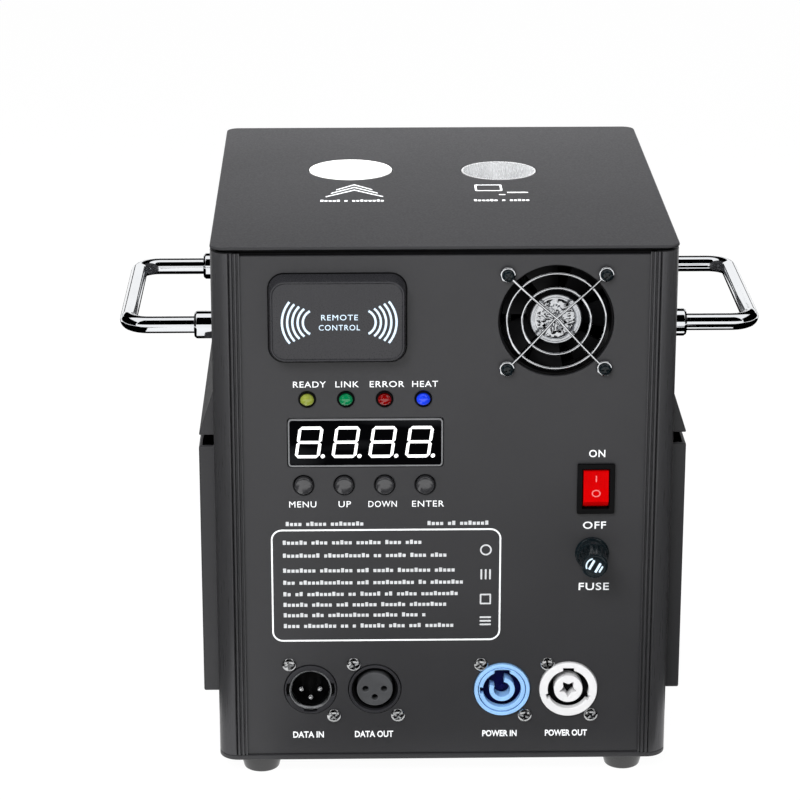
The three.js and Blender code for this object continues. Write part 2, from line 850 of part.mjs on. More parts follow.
function button(name, centre) {
  const radius = button_diameter / 2;
  const front = face_y - button_reach;
  const flange_front = back_y + fit_gap;
  const flange_back = flange_front + button_flange_height;
  const stem_end = board_y - tact_height - button_travel - fit_gap;
  const body = turned("y", centre, [
    [0, front], [radius - button_chamfer, front], [radius, front + button_chamfer],
    [radius, flange_front], [radius + button_flange, flange_front],
    [radius + button_flange, flange_back], [button_stem / 2, flange_back],
    [button_stem / 2, stem_end], [0, stem_end],
  ], middle_sides);
  return piece(name, body, "black_plastic");
}

// Power switch

function switchFrame() {
  const z = case_top - switch_drop;
  const body_w = bezel_width / 2 - bezel_lip;
  const body_h = bezel_height / 2 - bezel_lip;
  const pocket_w = rocker_width / 2 + fit_gap;
  const pocket_h = rocker_height / 2 + rocker_swing;
  const front = face_y - bezel_thickness;
  const body = cut(
    join(
      block(
        switch_x - bezel_width / 2, switch_x + bezel_width / 2, front, face_y,
        z - bezel_height / 2, z + bezel_height / 2,
      ),
      block(
        switch_x - body_w, switch_x + body_w, front, face_y + switch_depth, z - body_h, z + body_h,
      ),
    ),
    block(
      switch_x - pocket_w, switch_x + pocket_w, front - overrun, front + pocket_depth,
      z - pocket_h, z + pocket_h,
    ),
  );
  return piece("switch_frame", body, "black_plastic");
}

// The rocker at rest is tipped so that its upper end is pressed in.
function switchRocker() {
  const z = case_top - switch_drop;
  const pivot_y = face_y - bezel_thickness + rocker_pivot_depth;
  const half = rocker_height / 2;
  const keel = rocker_keel / 2;
  const rise = rocker_end_rise;
  const points = [
    [0, rise - rocker_dip], [half - rocker_end_slope, rise], [half, rise - rocker_end_drop], [half, 0],
    [keel, -rocker_keel_depth], [-keel, -rocker_keel_depth], [-half, 0], [-half, rise - rocker_end_drop],
    [-half + rocker_end_slope, rise],
  ];
  const tipped = points.map(([up, out]) => {
    const y = -out * Math.cos(rocker_tilt) + up * Math.sin(rocker_tilt);
    const rise_z = out * Math.sin(rocker_tilt) + up * Math.cos(rocker_tilt);
    return [pivot_y + y, z + rise_z];
  });
  const reach = rocker_width / 2;
  const body = prism("x", outline(tipped), switch_x - reach, switch_x + reach);
  return piece("switch_rocker", body, "red_plastic");
}

// Fuse holder

const fuse_front = face_y - fuse_flange_height;

function fuseHolder() {
  const barrel = fuse_barrel / 2;
  const well = fuse_neck / 2 + fit_gap;
  const bore = cartridge_diameter / 2 + 2 * fit_gap;
  const well_end = fuse_front + fuse_neck_well;
  const end = fuse_front + fuse_length;
  const body = turned("y", [fuse_x, fuse_z], [
    [0, end], [barrel, end], [barrel, face_y], [fuse_flange / 2, face_y], [fuse_flange / 2, fuse_front],
    [well, fuse_front], [well, well_end], [bore, well_end], [bore, end - fuse_end_wall],
    [0, end - fuse_end_wall],
  ], middle_sides);
  return piece("fuse_holder", body, "black_plastic");
}

function fuseCap() {
  const base = fuse_front - fit_gap;
  const tip = front_y - fuse_reach;
  const neck_end = base + fuse_neck_length;
  const grip = cartridge_diameter / 2 + fit_gap;
  const body = turned("y", [fuse_x, fuse_z], [
    [0, tip], [fuse_cap_tip / 2 - fuse_cap_chamfer, tip], [fuse_cap_tip / 2, tip + fuse_cap_chamfer],
    [fuse_cap_base / 2, base], [fuse_neck / 2, base], [fuse_neck / 2, neck_end], [grip, neck_end],
    [grip, neck_end - cartridge_grip - fit_gap], [0, neck_end - cartridge_grip - fit_gap],
  ], middle_sides);
  return piece("fuse_cap", body, "black_plastic");
}

function fuseCartridge() {
  const start = fuse_front - fit_gap + fuse_neck_length - cartridge_grip;
  const centre = [fuse_x, fuse_z];
  const body = bar("y", centre, cartridge_diameter / 2, start, start + cartridge_length, small_sides);
  return piece("fuse_cartridge", body, "clear_glass");
}

// Signal connectors

function signalShell(x) {
  const half_w = signal_flange_width / 2;
  const half_h = signal_flange_height / 2;
  const flange_back = back_y + signal_flange_thickness;
  return join(
    bar("y", [x, signal_z], signal_barrel / 2, face_y - signal_proud, flange_back),
    block(x - half_w, x + half_w, back_y, flange_back, signal_z - half_h, signal_z + half_h),
    bar("y", [x, signal_z], signal_rear / 2, back_y, back_y + signal_length),
  );
}

function pinPlaces(x) {
  return [
    [x - pin_spread, signal_z + pin_rise], [x + pin_spread, signal_z + pin_rise],
    [x, signal_z - pin_fall],
  ];
}

function signalInput() {
  const front = face_y - signal_proud;
  const floor = front + signal_cup_depth;
  const cup = bar("y", [signal_in_x, signal_z], signal_cup / 2, front - overrun, floor);
  const pins = pinPlaces(signal_in_x).map((place) => bar(
    "y", place, pin_diameter / 2, front + pin_recess, floor + overrun, small_sides,
  ));
  return piece("signal_input", join(cut(signalShell(signal_in_x), cup), ...pins), "black_plastic");
}

function signalOutput() {
  const front = face_y - signal_proud;
  const floor = front + signal_cup_depth;
  const centre = [signal_out_x, signal_z];
  const groove = ring("y", centre, signal_insert / 2, signal_groove / 2, front - overrun, floor);
  const holes = pinPlaces(signal_out_x).map((place) => bar(
    "y", place, pin_diameter / 2 + fit_gap, front - overrun, floor, small_sides,
  ));
  return piece("signal_output", cut(signalShell(signal_out_x), groove, ...holes), "grey_plastic");
}

// Power connectors: a keyed ring channel round a slotted core

function powerSocket(name, x, ring_diameter, look) {
  const half_w = power_flange_width / 2;
  const half_h = power_flange_height / 2;
  const flange_back = back_y + power_flange_thickness;
  const front = face_y - power_proud;
  const floor = front + power_channel_depth;
  const channel = power_channel / 2;
  const core = power_core / 2;
  const centre = [x, power_z];
  const body = cut(
    join(
      bar("y", centre, ring_diameter / 2, front, flange_back),
      block(x - half_w, x + half_w, back_y, flange_back, power_z - half_h, power_z + half_h),
      bar("y", centre, power_rear / 2, back_y, back_y + power_length),
    ),
    ring("y", centre, core, channel, front - overrun, floor),
    bar("y", centre, power_cavity / 2, front - overrun, floor),
    block(
      x - power_key / 2, x + power_key / 2, front - overrun, floor,
      power_z + core + overrun, power_z + channel + power_key_height,
    ),
    block(
      x - channel - power_key_height, x - core - overrun, front - overrun, floor,
      power_z - power_side_key / 2, power_z + power_side_key / 2,
    ),
    block(
      x - power_core_slot / 2, x + power_core_slot / 2, front - overrun, floor,
      power_z, power_z + core + overrun,
    ),
  );
  return piece(name, body, look);
}

// Front fan

const fan_z = case_top - fan_drop;
const fan_back = back_y + fan_depth;

function fanCorners() {
  const reach = fan_screw_spacing / 2;
  return [[-reach, -reach], [reach, -reach], [reach, reach], [-reach, reach]].map(
    ([x, z]) => [fan_x + x, fan_z + z],
  );
}

// A flat bar from a hub outwards, turned about the fan's axis.
function spoke(inner, outer, width, y_low, y_high, angle) {
  const c = Math.cos(angle);
  const s = Math.sin(angle);
  const half = width / 2;
  const points = [[inner, -half], [outer, -half], [outer, half], [inner, half]];
  const turnedPoints = points.map(([r, t]) => [fan_x + r * c - t * s, fan_z + r * s + t * c]);
  return prism("y", outline(turnedPoints), y_low, y_high);
}

function fanFrame() {
  const half = fan_size / 2;
  const plate_y = fan_back - fan_plate_thickness;
  const centre = [fan_x, fan_z];
  const struts = [];
  for (let i = 0; i < fan_strut_count; i += 1) {
    const angle = ((i + 1 / 4) / fan_strut_count) * 2 * Math.PI;
    struts.push(spoke(fan_hub / 4, fan_bore / 2 + fit_gap, fan_strut, plate_y, fan_back, angle));
  }
  const shell = cut(
    block(fan_x - half, fan_x + half, back_y, fan_back, fan_z - half, fan_z + half),
    bar("y", centre, fan_bore / 2, back_y - overrun, fan_back + overrun, fine_sides),
  );
  const body = cut(
    join(shell, bar("y", centre, fan_motor_plate / 2, plate_y, fan_back), ...struts),
    bar("y", centre, fan_shaft / 2 + fit_gap, plate_y - overrun, fan_back + overrun, small_sides),
    ...fanCorners().map((place) => bar(
      "y", place, fan_screw_hole / 2, back_y - overrun, fan_back + overrun, small_sides,
    )),
  );
  return piece("fan_frame", body, "black_plastic");
}

function fanRotor() {
  const front = back_y + fan_hub_setback;
  const plate_y = fan_back - fan_plate_thickness;
  const hub_back = plate_y - fit_gap;
  const mid = (front + hub_back) / 2;
  const inner = fan_hub / 2 - overrun;
  const outer = fan_bore / 2 - fan_tip_gap;
  const span = outer - inner;
  const blades = [];
  for (let i = 0; i < fan_blade_count; i += 1) {
    const blade = new THREE.BoxGeometry(span, fan_blade_chord, fan_blade_thickness);
    blade.translate((inner + outer) / 2, 0, 0).rotateX(fan_blade_angle);
    blade.rotateY((i / fan_blade_count) * 2 * Math.PI).translate(fan_x, mid, fan_z);
    blades.push(solid(blade));
  }
  const body = join(
    turned("y", [fan_x, fan_z], [
      [0, front], [fan_hub / 2, front], [fan_hub / 2, hub_back], [fan_shaft / 2, hub_back],
      [fan_shaft / 2, fan_back - fit_gap], [0, fan_back - fit_gap],
    ]),
    ...blades,
  );
  return piece("fan_rotor", body, "black_plastic");
}

// Two crossed wires end in eyes under the screws, and carry two rings welded behind them.
function fanGuard() {
  const y = face_y - fit_gap - guard_wire / 2;
  const corners = fanCorners();
  const rod = ([x0, z0], [x1, z1]) => {
    const span = Math.hypot(x1 - x0, z1 - z0);
    const trim = (guard_eye - guard_wire) / 2 / span;
    const from = new THREE.Vector3(x0, y, z0);
    const to = new THREE.Vector3(x1, y, z1);
    const line = new THREE.LineCurve3(from.clone().lerp(to, trim), to.clone().lerp(from, trim));
    return tube(line, guard_wire / 2, 1);
  };
  const ring_y = y + guard_ring_setback;
  const body = join(
    wireRing(fan_x, ring_y, fan_z, guard_outer_ring),
    wireRing(fan_x, ring_y, fan_z, guard_inner_ring),
    rod(corners[0], corners[2]),
    rod(corners[1], corners[3]),
    ...corners.map(([x, z]) => wireRing(x, y, z, guard_eye, eye_sides)),
  );
  return piece("fan_guard", body, "chrome");
}

// Nozzle, hot chamber and what is round it

function nozzleLiner() {
  const inner = nozzle_radius - nozzle_wall;
  const flange = nozzle_radius + port_flange_width;
  const flange_under = top_under - port_flange_thickness;
  const body = turned("z", [nozzle_x, nozzle_y], [
    [inner, nozzle_bottom], [nozzle_radius, nozzle_bottom], [nozzle_radius, flange_under],
    [flange, flange_under], [flange, top_under], [nozzle_radius, top_under],
    [nozzle_radius, case_top], [inner, case_top],
  ]);
  return piece("nozzle_liner", body, "ceramic");
}

function sparkChamber() {
  const flange_top = blower_top + chamber_flange_thickness;
  const body = cut(
    turned("z", [nozzle_x, nozzle_y], [
      [chamber_bore_radius, blower_top], [chamber_flange / 2, blower_top],
      [chamber_flange / 2, flange_top], [chamber_radius, flange_top],
      [chamber_radius, nozzle_bottom + chamber_lap], [chamber_bore_radius, nozzle_bottom + chamber_lap],
    ]),
    bar("x", [inlet_y, feed_z], barrel_diameter / 2 + fit_gap, nozzle_x, nozzle_x + chamber_flange),
  );
  return piece("spark_chamber", body, "steel");
}

function heaterSleeve() {
  const inner = chamber_radius + fit_gap;
  const body = ring(
    "z", [nozzle_x, nozzle_y], inner, inner + heater_wall, heater_bottom + fit_gap, heater_top,
  );
  return piece("heater_sleeve", body, "ceramic");
}

function insulationJacket() {
  const inner = chamber_radius + heater_wall + 2 * fit_gap;
  const body = ring(
    "z", [nozzle_x, nozzle_y], inner, inner + jacket_wall, heater_bottom + fit_gap, heater_top,
  );
  return piece("insulation_jacket", body, "fibre");
}

// Hopper and feed screw

function hopper() {
  const outer = hopper_radius;
  const inner = outer - hopper_wall;
  const flange = outer + port_flange_width;
  const flange_under = top_under - port_flange_thickness;
  const cup_bottom = case_top - hopper_depth;
  const cone_bottom = cup_bottom - hopper_cone;
  const throat_bottom = cone_bottom - throat_length;
  const throat = throat_bore / 2;
  const body = turned("z", [inlet_x, inlet_y], [
    [throat, throat_bottom], [throat + hopper_wall, throat_bottom], [throat + hopper_wall, cone_bottom],
    [outer, cup_bottom], [outer, flange_under], [flange, flange_under], [flange, top_under],
    [outer, top_under], [outer, case_top], [inner, case_top], [inner, cup_bottom],
    [throat, cone_bottom],
  ]);
  return piece("hopper", body, "chrome");
}

const barrel_start = nozzle_x + chamber_bore_radius + barrel_entry;
const barrel_end = bracket_x + bracket_thickness - fit_gap;

function feedBarrel() {
  const outer = barrel_diameter / 2;
  const bore = barrel_bore / 2;
  const flange = barrel_flange / 2;
  const flange_start = bracket_x - barrel_flange_thickness;
  const body = cut(
    turned("x", [inlet_y, feed_z], [
      [bore, barrel_start], [outer, barrel_start], [outer, flange_start], [flange, flange_start],
      [flange, bracket_x], [outer, bracket_x], [outer, barrel_end], [bore, barrel_end],
    ]),
    bar("z", [inlet_x, inlet_y], throat_bore / 2 + hopper_wall + fit_gap, feed_z, feed_z + barrel_diameter),
  );
  return piece("feed_barrel", body, "steel");
}

// A shaft with one fin, twisted along its length into a screw.
function feedScrew() {
  const start = barrel_start + overrun;
  const end = barrel_end - overrun;
  const length = end - start;
  const turns = length / screw_pitch;
  const fin_radius = barrel_bore / 2 - screw_gap;
  const half_fin = screw_fin_angle / 2;
  const section = outline([
    ...arcPoints(0, 0, fin_radius, -half_fin, half_fin, 1),
    ...arcPoints(0, 0, screw_shaft / 2, half_fin, 2 * Math.PI - half_fin, 6),
  ]);
  const steps = Math.round(turns * screw_steps_per_turn);
  const geometry = new THREE.ExtrudeGeometry(section, { depth: length, steps, bevelEnabled: false });
  const position = geometry.getAttribute("position");
  for (let i = 0; i < position.count; i += 1) {
    const angle = (position.getZ(i) / screw_pitch) * 2 * Math.PI;
    const [u, v] = [position.getX(i), position.getY(i)];
    const turned_u = u * Math.cos(angle) - v * Math.sin(angle);
    const turned_v = u * Math.sin(angle) + v * Math.cos(angle);
    position.setXY(i, turned_u, turned_v);
  }
  geometry.applyMatrix4(along.x).translate(start, inlet_y, feed_z);
  const shaft_end = bracket_x + bracket_thickness + shaft_engagement;
  const body = join(
    solid(geometry),
    bar("x", [inlet_y, feed_z], screw_shaft / 2 - fit_gap, end - overrun, shaft_end, eye_sides),
  );
  return piece("feed_screw", body, "steel");
}

function feedMotor() {
  const start = bracket_x + bracket_thickness;
  const centre = [inlet_y, feed_z];
  const gearbox = motor_diameter / 2;
  const can = gearbox - 2 * fit_gap;
  const end = side_inner - motor_side_gap;
  const bore_end = start + shaft_engagement + fit_gap;
  const body = cut(
    turned("x", centre, [
      [0, start], [gearbox, start], [gearbox, start + motor_gearbox], [can, start + motor_gearbox],
      [can, end], [0, end],
    ]),
    bar("x", centre, screw_shaft / 2 + fit_gap, start - overrun, bore_end, small_sides),
  );
  return piece("feed_motor", body, "steel");
}

function feedBracket() {
  const y_low = inlet_y - bracket_half_width;
  const y_high = inlet_y + bracket_half_width;
  const body = cut(
    join(
      block(
        bracket_x, bracket_x + bracket_thickness, y_low, y_high, feed_z - bracket_half_width, top_under,
      ),
      block(
        bracket_x, bracket_x + bracket_foot, y_low, y_high, top_under - bracket_thickness, top_under,
      ),
    ),
    bar(
      "x", [inlet_y, feed_z], barrel_diameter / 2 + fit_gap,
      bracket_x - overrun, bracket_x + bracket_thickness + overrun,
    ),
  );
  return piece("feed_bracket", body, "steel");
}

// Blower under the chamber

const blower_low = nozzle_y - blower_depth / 2;
const blower_high = nozzle_y + blower_depth / 2;

function blowerHousing() {
  const centre = [blower_x, blower_z];
  const radius = blower_scroll / 2;
  const neck = blower_neck / 2;
  const flange = chamber_flange / 2;
  const foot = blower_foot_width / 2;
  const boss_end = blower_high + blower_motor_length;
  const body = cut(
    join(
      bar("y", centre, radius, blower_low, blower_high, fine_sides),
      block(nozzle_x - neck, nozzle_x + neck, blower_low, blower_high, blower_z, blower_top),
      block(
        nozzle_x - flange, nozzle_x + flange, nozzle_y - flange, nozzle_y + flange,
        blower_top - blower_flange_thickness, blower_top,
      ),
      block(
        blower_x - foot, blower_x + foot, blower_low, blower_high,
        base_top, base_top + 2 * blower_foot_height,
      ),
      bar("y", centre, blower_motor / 2, blower_high - overrun, boss_end),
    ),
    bar("y", centre, radius - blower_wall, blower_low + blower_wall, blower_high - blower_wall, fine_sides),
    block(
      nozzle_x - neck + blower_wall, nozzle_x + neck - blower_wall,
      blower_low + blower_wall, blower_high - blower_wall, blower_z, blower_top + overrun,
    ),
    bar("y", centre, blower_inlet / 2, blower_low - overrun, blower_low + blower_wall + overrun),
    bar(
      "y", centre, impeller_shaft / 2 + fit_gap,
      blower_high - blower_wall - overrun, blower_high - blower_wall + impeller_shaft_length + fit_gap,
      small_sides,
    ),
  );
  return piece("blower_housing", body, "black_plastic");
}

function blowerImpeller() {
  const back = blower_high - blower_wall - impeller_side_gap;
  const front = blower_low + blower_wall + impeller_side_gap;
  const outer = impeller_diameter / 2;
  const blades = [];
  for (let i = 0; i < impeller_blade_count; i += 1) {
    const inner = outer - impeller_blade_length;
    const blade = new THREE.BoxGeometry(impeller_blade_length, back - front, impeller_blade_thickness);
    blade.translate((inner + outer) / 2 - fit_gap, (front + back) / 2, 0);
    blade.rotateY((i / impeller_blade_count) * 2 * Math.PI).translate(blower_x, 0, blower_z);
    blades.push(solid(blade));
  }
  const shaft = impeller_shaft / 2;
  const hub = impeller_hub / 2;
  const body = join(
    turned("y", [blower_x, blower_z], [
      [0, (front + back) / 2], [hub, (front + back) / 2], [hub, back - impeller_plate],
      [outer, back - impeller_plate], [outer, back], [shaft, back],
      [shaft, blower_high - blower_wall + impeller_shaft_length],
      [0, blower_high - blower_wall + impeller_shaft_length],
    ]),
    ...blades,
  );
  return piece("blower_impeller", body, "grey_plastic");
}

// Power supply and main board

function powerSupply() {
  const x_low = blower_x + blower_scroll / 2 + supply_gap;
  const x_high = side_inner - supply_side_gap;
  const y_low = front_y + supply_setback;
  const y_high = rear_y - supply_rear_gap;
  const body = join(
    block(x_low, x_high, y_low, y_high, base_top, base_top + supply_height),
    block(
      x_low + terminal_margin, x_high - terminal_margin, y_low - terminal_depth, y_low + terminal_depth,
      base_top, base_top + terminal_height,
    ),
  );
  return piece("power_supply", body, "steel");
}

function controlBoard() {
  const wall = -side_inner;
  const x_low = wall + control_standoff;
  const x_high = x_low + board_thickness;
  const y_low = front_y + control_setback;
  const y_high = y_low + control_length;
  const z_high = control_bottom + control_height;
  const pillars = [];
  for (const y of [y_low + control_inset, y_high - control_inset]) {
    for (const z of [control_bottom + control_inset, z_high - control_inset]) {
      pillars.push(bar("x", [y, z], control_pillar / 2, wall, x_low + board_thickness / 2, small_sides));
    }
  }
  const relays = [y_low + control_inset, y_low + control_inset + relay_size + control_inset].map(
    (y) => block(
      x_low, x_high + relay_height, y, y + relay_size,
      control_bottom + 2 * control_inset, control_bottom + 2 * control_inset + relay_size,
    ),
  );
  const board = block(x_low, x_high, y_low, y_high, control_bottom, z_high);
  return piece("control_board", join(board, ...pillars, ...relays), "board_green");
}

const machine = new THREE.Group();

machine.add(basePlate(), topPlate(), controlPanel(), rearPanel());
for (const [side_name, side] of sides) {
  machine.add(sidePanel(side_name, side), ventCover(side_name, side), handle(side_name, side));
  for (const [i, [end_name, end]] of ends.entries()) {
    machine.add(cornerPost(side_name, side, end_name, end), foot(side_name, side, end_name, end));
    machine.add(handleCollar(side_name, side, end_name, handle_ends[i]));
  }
}

machine.add(receiverCover(), receiverBoard(), displayModule(), displayBoard());
lamps.forEach(([name, look], i) => machine.add(lamp(name, lampPlaces()[i], look)));
buttons.forEach((name, i) => machine.add(button(name, buttonPlaces()[i])));

machine.add(switchFrame(), switchRocker(), fuseHolder(), fuseCap(), fuseCartridge());
machine.add(signalInput(), signalOutput());
machine.add(powerSocket("power_input", power_in_x, power_in_ring, "blue_plastic"));
machine.add(powerSocket("power_output", power_out_x, power_out_ring, "white_plastic"));
machine.add(fanFrame(), fanRotor(), fanGuard());
machine.add(nozzleLiner(), sparkChamber(), heaterSleeve(), insulationJacket());
machine.add(hopper(), feedBarrel(), feedScrew(), feedMotor(), feedBracket());
machine.add(blowerHousing(), blowerImpeller(), powerSupply(), controlBoard());

export default machine;
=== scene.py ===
from math import asin, atan2, cos, degrees, pi, radians, sin

import bmesh
import bpy
from mathutils import Matrix, Vector, noise


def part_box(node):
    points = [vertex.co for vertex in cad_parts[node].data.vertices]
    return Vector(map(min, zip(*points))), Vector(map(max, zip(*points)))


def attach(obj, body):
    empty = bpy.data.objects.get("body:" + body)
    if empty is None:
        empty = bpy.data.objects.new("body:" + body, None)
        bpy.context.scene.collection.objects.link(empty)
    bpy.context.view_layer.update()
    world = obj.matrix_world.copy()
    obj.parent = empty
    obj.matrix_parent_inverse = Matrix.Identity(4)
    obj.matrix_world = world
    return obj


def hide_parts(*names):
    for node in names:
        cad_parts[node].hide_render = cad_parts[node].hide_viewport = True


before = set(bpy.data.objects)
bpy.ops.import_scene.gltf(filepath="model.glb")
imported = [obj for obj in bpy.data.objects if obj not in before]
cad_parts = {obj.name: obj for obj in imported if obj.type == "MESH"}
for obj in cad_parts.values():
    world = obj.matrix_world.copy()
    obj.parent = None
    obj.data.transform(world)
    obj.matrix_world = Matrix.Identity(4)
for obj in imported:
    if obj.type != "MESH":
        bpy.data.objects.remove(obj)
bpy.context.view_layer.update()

# Shapes are drawn in millimetres. X is to the right, Y to the rear and Z up, as in the frame.
MM = 0.001
scene = bpy.context.scene


def box_mm(node):
    low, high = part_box(node)
    return low / MM, high / MM


def centre_mm(node):
    low, high = box_mm(node)
    return (low + high) / 2


# Camera, at the place from which the photograph was taken. Angles are in degrees.
CAMERA_PLACE = (-44.5, -1376.9, 612.5)
CAMERA_PITCH = 18.551
CAMERA_TURN = 1.098
CAMERA_LENS = 133.466

camera_data = bpy.data.cameras.new("camera")
camera_data.lens = CAMERA_LENS
camera_data.sensor_width = 36
camera_data.clip_start = 0.05
camera_data.clip_end = 50
camera = bpy.data.objects.new("camera", camera_data)
scene.collection.objects.link(camera)
camera.location = Vector(CAMERA_PLACE) * MM
camera.rotation_euler = (radians(90 - CAMERA_PITCH), 0, radians(-CAMERA_TURN))
scene.camera = camera

# Sizes that the pieces share
CORNER = 9
SHEET_EDGE = 0.6
LEGEND = 0.16
SIDES = {"left": -1, "right": 1}
ENDS = {"front": -1, "rear": 1}
LAMPS = ("ready", "link", "error", "heat")
BUTTONS = ("menu", "up", "down", "enter")

case_low, case_high = box_mm("top_plate")
panel_low, panel_high = box_mm("control_panel")
FACE_Y = panel_low.y
BACK_Y = panel_high.y
TOP_UNDER = case_low.z

# Materials

NOISE_ROUGHNESS = 0.55


def shade(red, green, blue):
    """A colour as it is seen, from 0 to 255, turned into the linear values that a shader takes."""
    def linear(value):
        value /= 255
        return value / 12.92 if value <= 0.04045 else ((value + 0.055) / 1.055) ** 2.4
    return (linear(red), linear(green), linear(blue), 1)


def wire(tree, node, inputs):
    """Links a node's inputs, each given by its name or number, to sockets, or sets them."""
    for place, value in inputs.items():
        socket = node.inputs[place if isinstance(place, int) else place.replace("_", " ")]
        if isinstance(value, bpy.types.NodeSocket):
            tree.links.new(value, socket)
        else:
            socket.default_value = value


def add(tree, kind, *values, operation=None, **inputs):
    """A new shader node, with inputs given in their order or by name."""
    node = tree.nodes.new(f"ShaderNode{kind}")
    if operation:
        node.operation = operation
    wire(tree, node, {**dict(enumerate(values)), **inputs})
    return node


class Recipe:
    """The nodes of one procedural material, laid on the object's own coordinates."""

    def __init__(self, name):
        self.material = bpy.data.materials.new(name)
        self.material.use_nodes = True
        self.tree = self.material.node_tree
        self.shader = self.tree.nodes["Principled BSDF"]
        self.coordinates = add(self.tree, "TexCoord").outputs["Object"]

    def mapped(self, stretch=(1, 1, 1), turn=(0, 0, 0)):
        mapping = add(self.tree, "Mapping", Vector=self.coordinates, Scale=stretch, Rotation=turn)
        return mapping.outputs["Vector"]

    def noise(self, size, stretch=(1, 1, 1), detail=4, turn=(0, 0, 0)):
        return add(
            self.tree, "TexNoise", Vector=self.mapped(stretch, turn), Scale=1 / (size * MM),
            Detail=detail, Roughness=NOISE_ROUGHNESS,
        ).outputs["Fac"]

    def cells(self, size, feature="F1"):
        cells = add(self.tree, "TexVoronoi", Vector=self.mapped(), Scale=1 / (size * MM))
        cells.feature = feature
        return cells.outputs["Distance"]

    def spread(self, value, low, high, from_low=0.3, from_high=0.7):
        return add(
            self.tree, "MapRange", Value=value, From_Min=from_low, From_Max=from_high, To_Min=low,
            To_Max=high,
        ).outputs["Result"]

    def mix(self, factor, first, second):
        mix = add(self.tree, "Mix", Factor=factor)
        mix.data_type = "RGBA"
        wire(self.tree, mix, {"A": first, "B": second})
        return mix.outputs["Result"]

    def relief(self, value, depth, strength):
        bump = add(self.tree, "Bump", Strength=strength, Distance=depth * MM, Height=value)
        self.sockets(Normal=bump.outputs["Normal"])

    def sockets(self, **values):
        """Links or sets the inputs of the material's own shader."""
        wire(self.tree, self.shader, values)


LOOKS = {}


def finish(
    name, slot, colour, rough, patch, vary, grain, depth, strength, metal=0, vary_rough=0.06,
    stretch=(1, 1, 1), specular=0.5, coat=None, glow=None,
):
    """A finish with slow changes of shade and gloss, and a fine grain that stands in relief."""
    recipe = Recipe(name)
    tone = recipe.spread(recipe.noise(patch, stretch), 0, 1)
    fine = recipe.noise(grain, stretch, detail=2)
    dark, light = (
        (*[channel * share for channel in shade(*colour)[:3]], 1) for share in (1 - vary, 1 + vary)
    )
    recipe.relief(fine, depth, strength)
    recipe.sockets(
        Base_Color=recipe.mix(tone, dark, light), Metallic=metal, Specular_IOR_Level=specular,
        Roughness=recipe.spread(fine, rough - vary_rough, rough + vary_rough),
    )
    if coat:
        recipe.sockets(Coat_Weight=coat[0], Coat_Roughness=coat[1])
    if glow:
        recipe.sockets(Emission_Color=shade(*glow[0]), Emission_Strength=glow[1])
    LOOKS[name] = recipe.material, slot


# In each line: name, slot, colour, roughness, then the size and depth of the slow change of shade,
# and the size, depth and strength of the grain
PAINT, RUBBER, BLACK, WINDOW = "case_paint", "foot_rubber", "black_plastic", "display_window"
UP_AND_DOWN = (1, 1, 0.1)
INK, BLUE_INK = (236, 238, 240), (206, 226, 242)
finish("case_paint", PAINT, (48, 48, 50), 0.42, 60, 0.06, 0.9, 0.02, 0.2)
finish(
    "post_paint", "post_paint", (76, 76, 78), 0.32, 30, 0.1, 0.5, 0.01, 0.2, metal=0.6,
    stretch=(1, 1, 0.03),
)
finish("receiver_paint", PAINT, (42, 42, 45), 0.3, 40, 0.06, 0.7, 0.004, 0.2)
finish("foot_rubber", RUBBER, (18, 18, 19), 0.22, 8, 0.25, 0.35, 0.005, 0.2, specular=1)
# Near-black dull rubber: the seal under the top plate, and painted shade in the rebate under the
# top plate and round the receiver pad
finish("gasket_and_painted_shade_rubber", RUBBER, (9, 9, 10), 0.7, 8, 0.25, 0.35, 0.01, 0.2, specular=0.1)
finish(
    "chrome", "chrome", (238, 240, 243), 0.05, 25, 0.03, 1.2, 0.001, 0.15, metal=1, vary_rough=0.03,
)
finish(
    "steel", "steel", (184, 186, 188), 0.3, 20, 0.12, 0.25, 0.006, 0.4, metal=1, vary_rough=0.1,
    stretch=(0.08, 1, 1),
)
finish(
    "screw_steel", "steel", (206, 207, 208), 0.2, 4, 0.14, 0.2, 0.006, 0.4, metal=1,
    vary_rough=0.08,
)
finish(
    "bright_steel", "steel", (236, 237, 238), 0.12, 18, 0.05, 0.3, 0.003, 0.25, metal=1,
    vary_rough=0.05, stretch=UP_AND_DOWN,
)
finish(
    "hopper_steel", "polished_steel", (240, 241, 242), 0.28, 14, 0.08, 0.4, 0.004, 0.3, metal=0.55,
    vary_rough=0.08, stretch=UP_AND_DOWN,
)
finish(
    "hub_foil", "steel", (214, 216, 219), 0.14, 3, 0.12, 0.4, 0.01, 0.3, metal=1, vary_rough=0.08,
)
finish("black_plastic", BLACK, (11, 11, 12), 0.34, 12, 0.2, 0.3, 0.01, 0.25, specular=0.09)
finish(
    "dark_gloss", BLACK, (10, 20, 24), 0.24, 10, 0.3, 0.6, 0.006, 0.2, specular=0.3,
    coat=(0.25, 0.08),
)
finish("button_plastic", BLACK, (50, 50, 52), 0.14, 6, 0.12, 0.25, 0.004, 0.3, specular=1)
finish("shell_plastic", BLACK, (44, 44, 47), 0.34, 9, 0.15, 0.3, 0.01, 0.3, specular=0.35)
finish("grey_plastic", "grey_plastic", (72, 73, 75), 0.38, 9, 0.12, 0.3, 0.01, 0.3, specular=0.3)
# Light grey rim of the display window: a painted highlight on its bevel
finish("display_rim_painted_highlight", WINDOW, (118, 119, 121), 0.36, 9, 0.12, 0.3, 0.01, 0.3)
finish("red_plastic", "red_plastic", (192, 0, 2), 0.3, 7, 0.07, 0.8, 0.004, 0.2, specular=0.02)
finish(
    "blue_plastic", "blue_plastic", (150, 196, 244), 0.25, 7, 0.09, 0.4, 0.008, 0.3,
    coat=(0.3, 0.1),
)
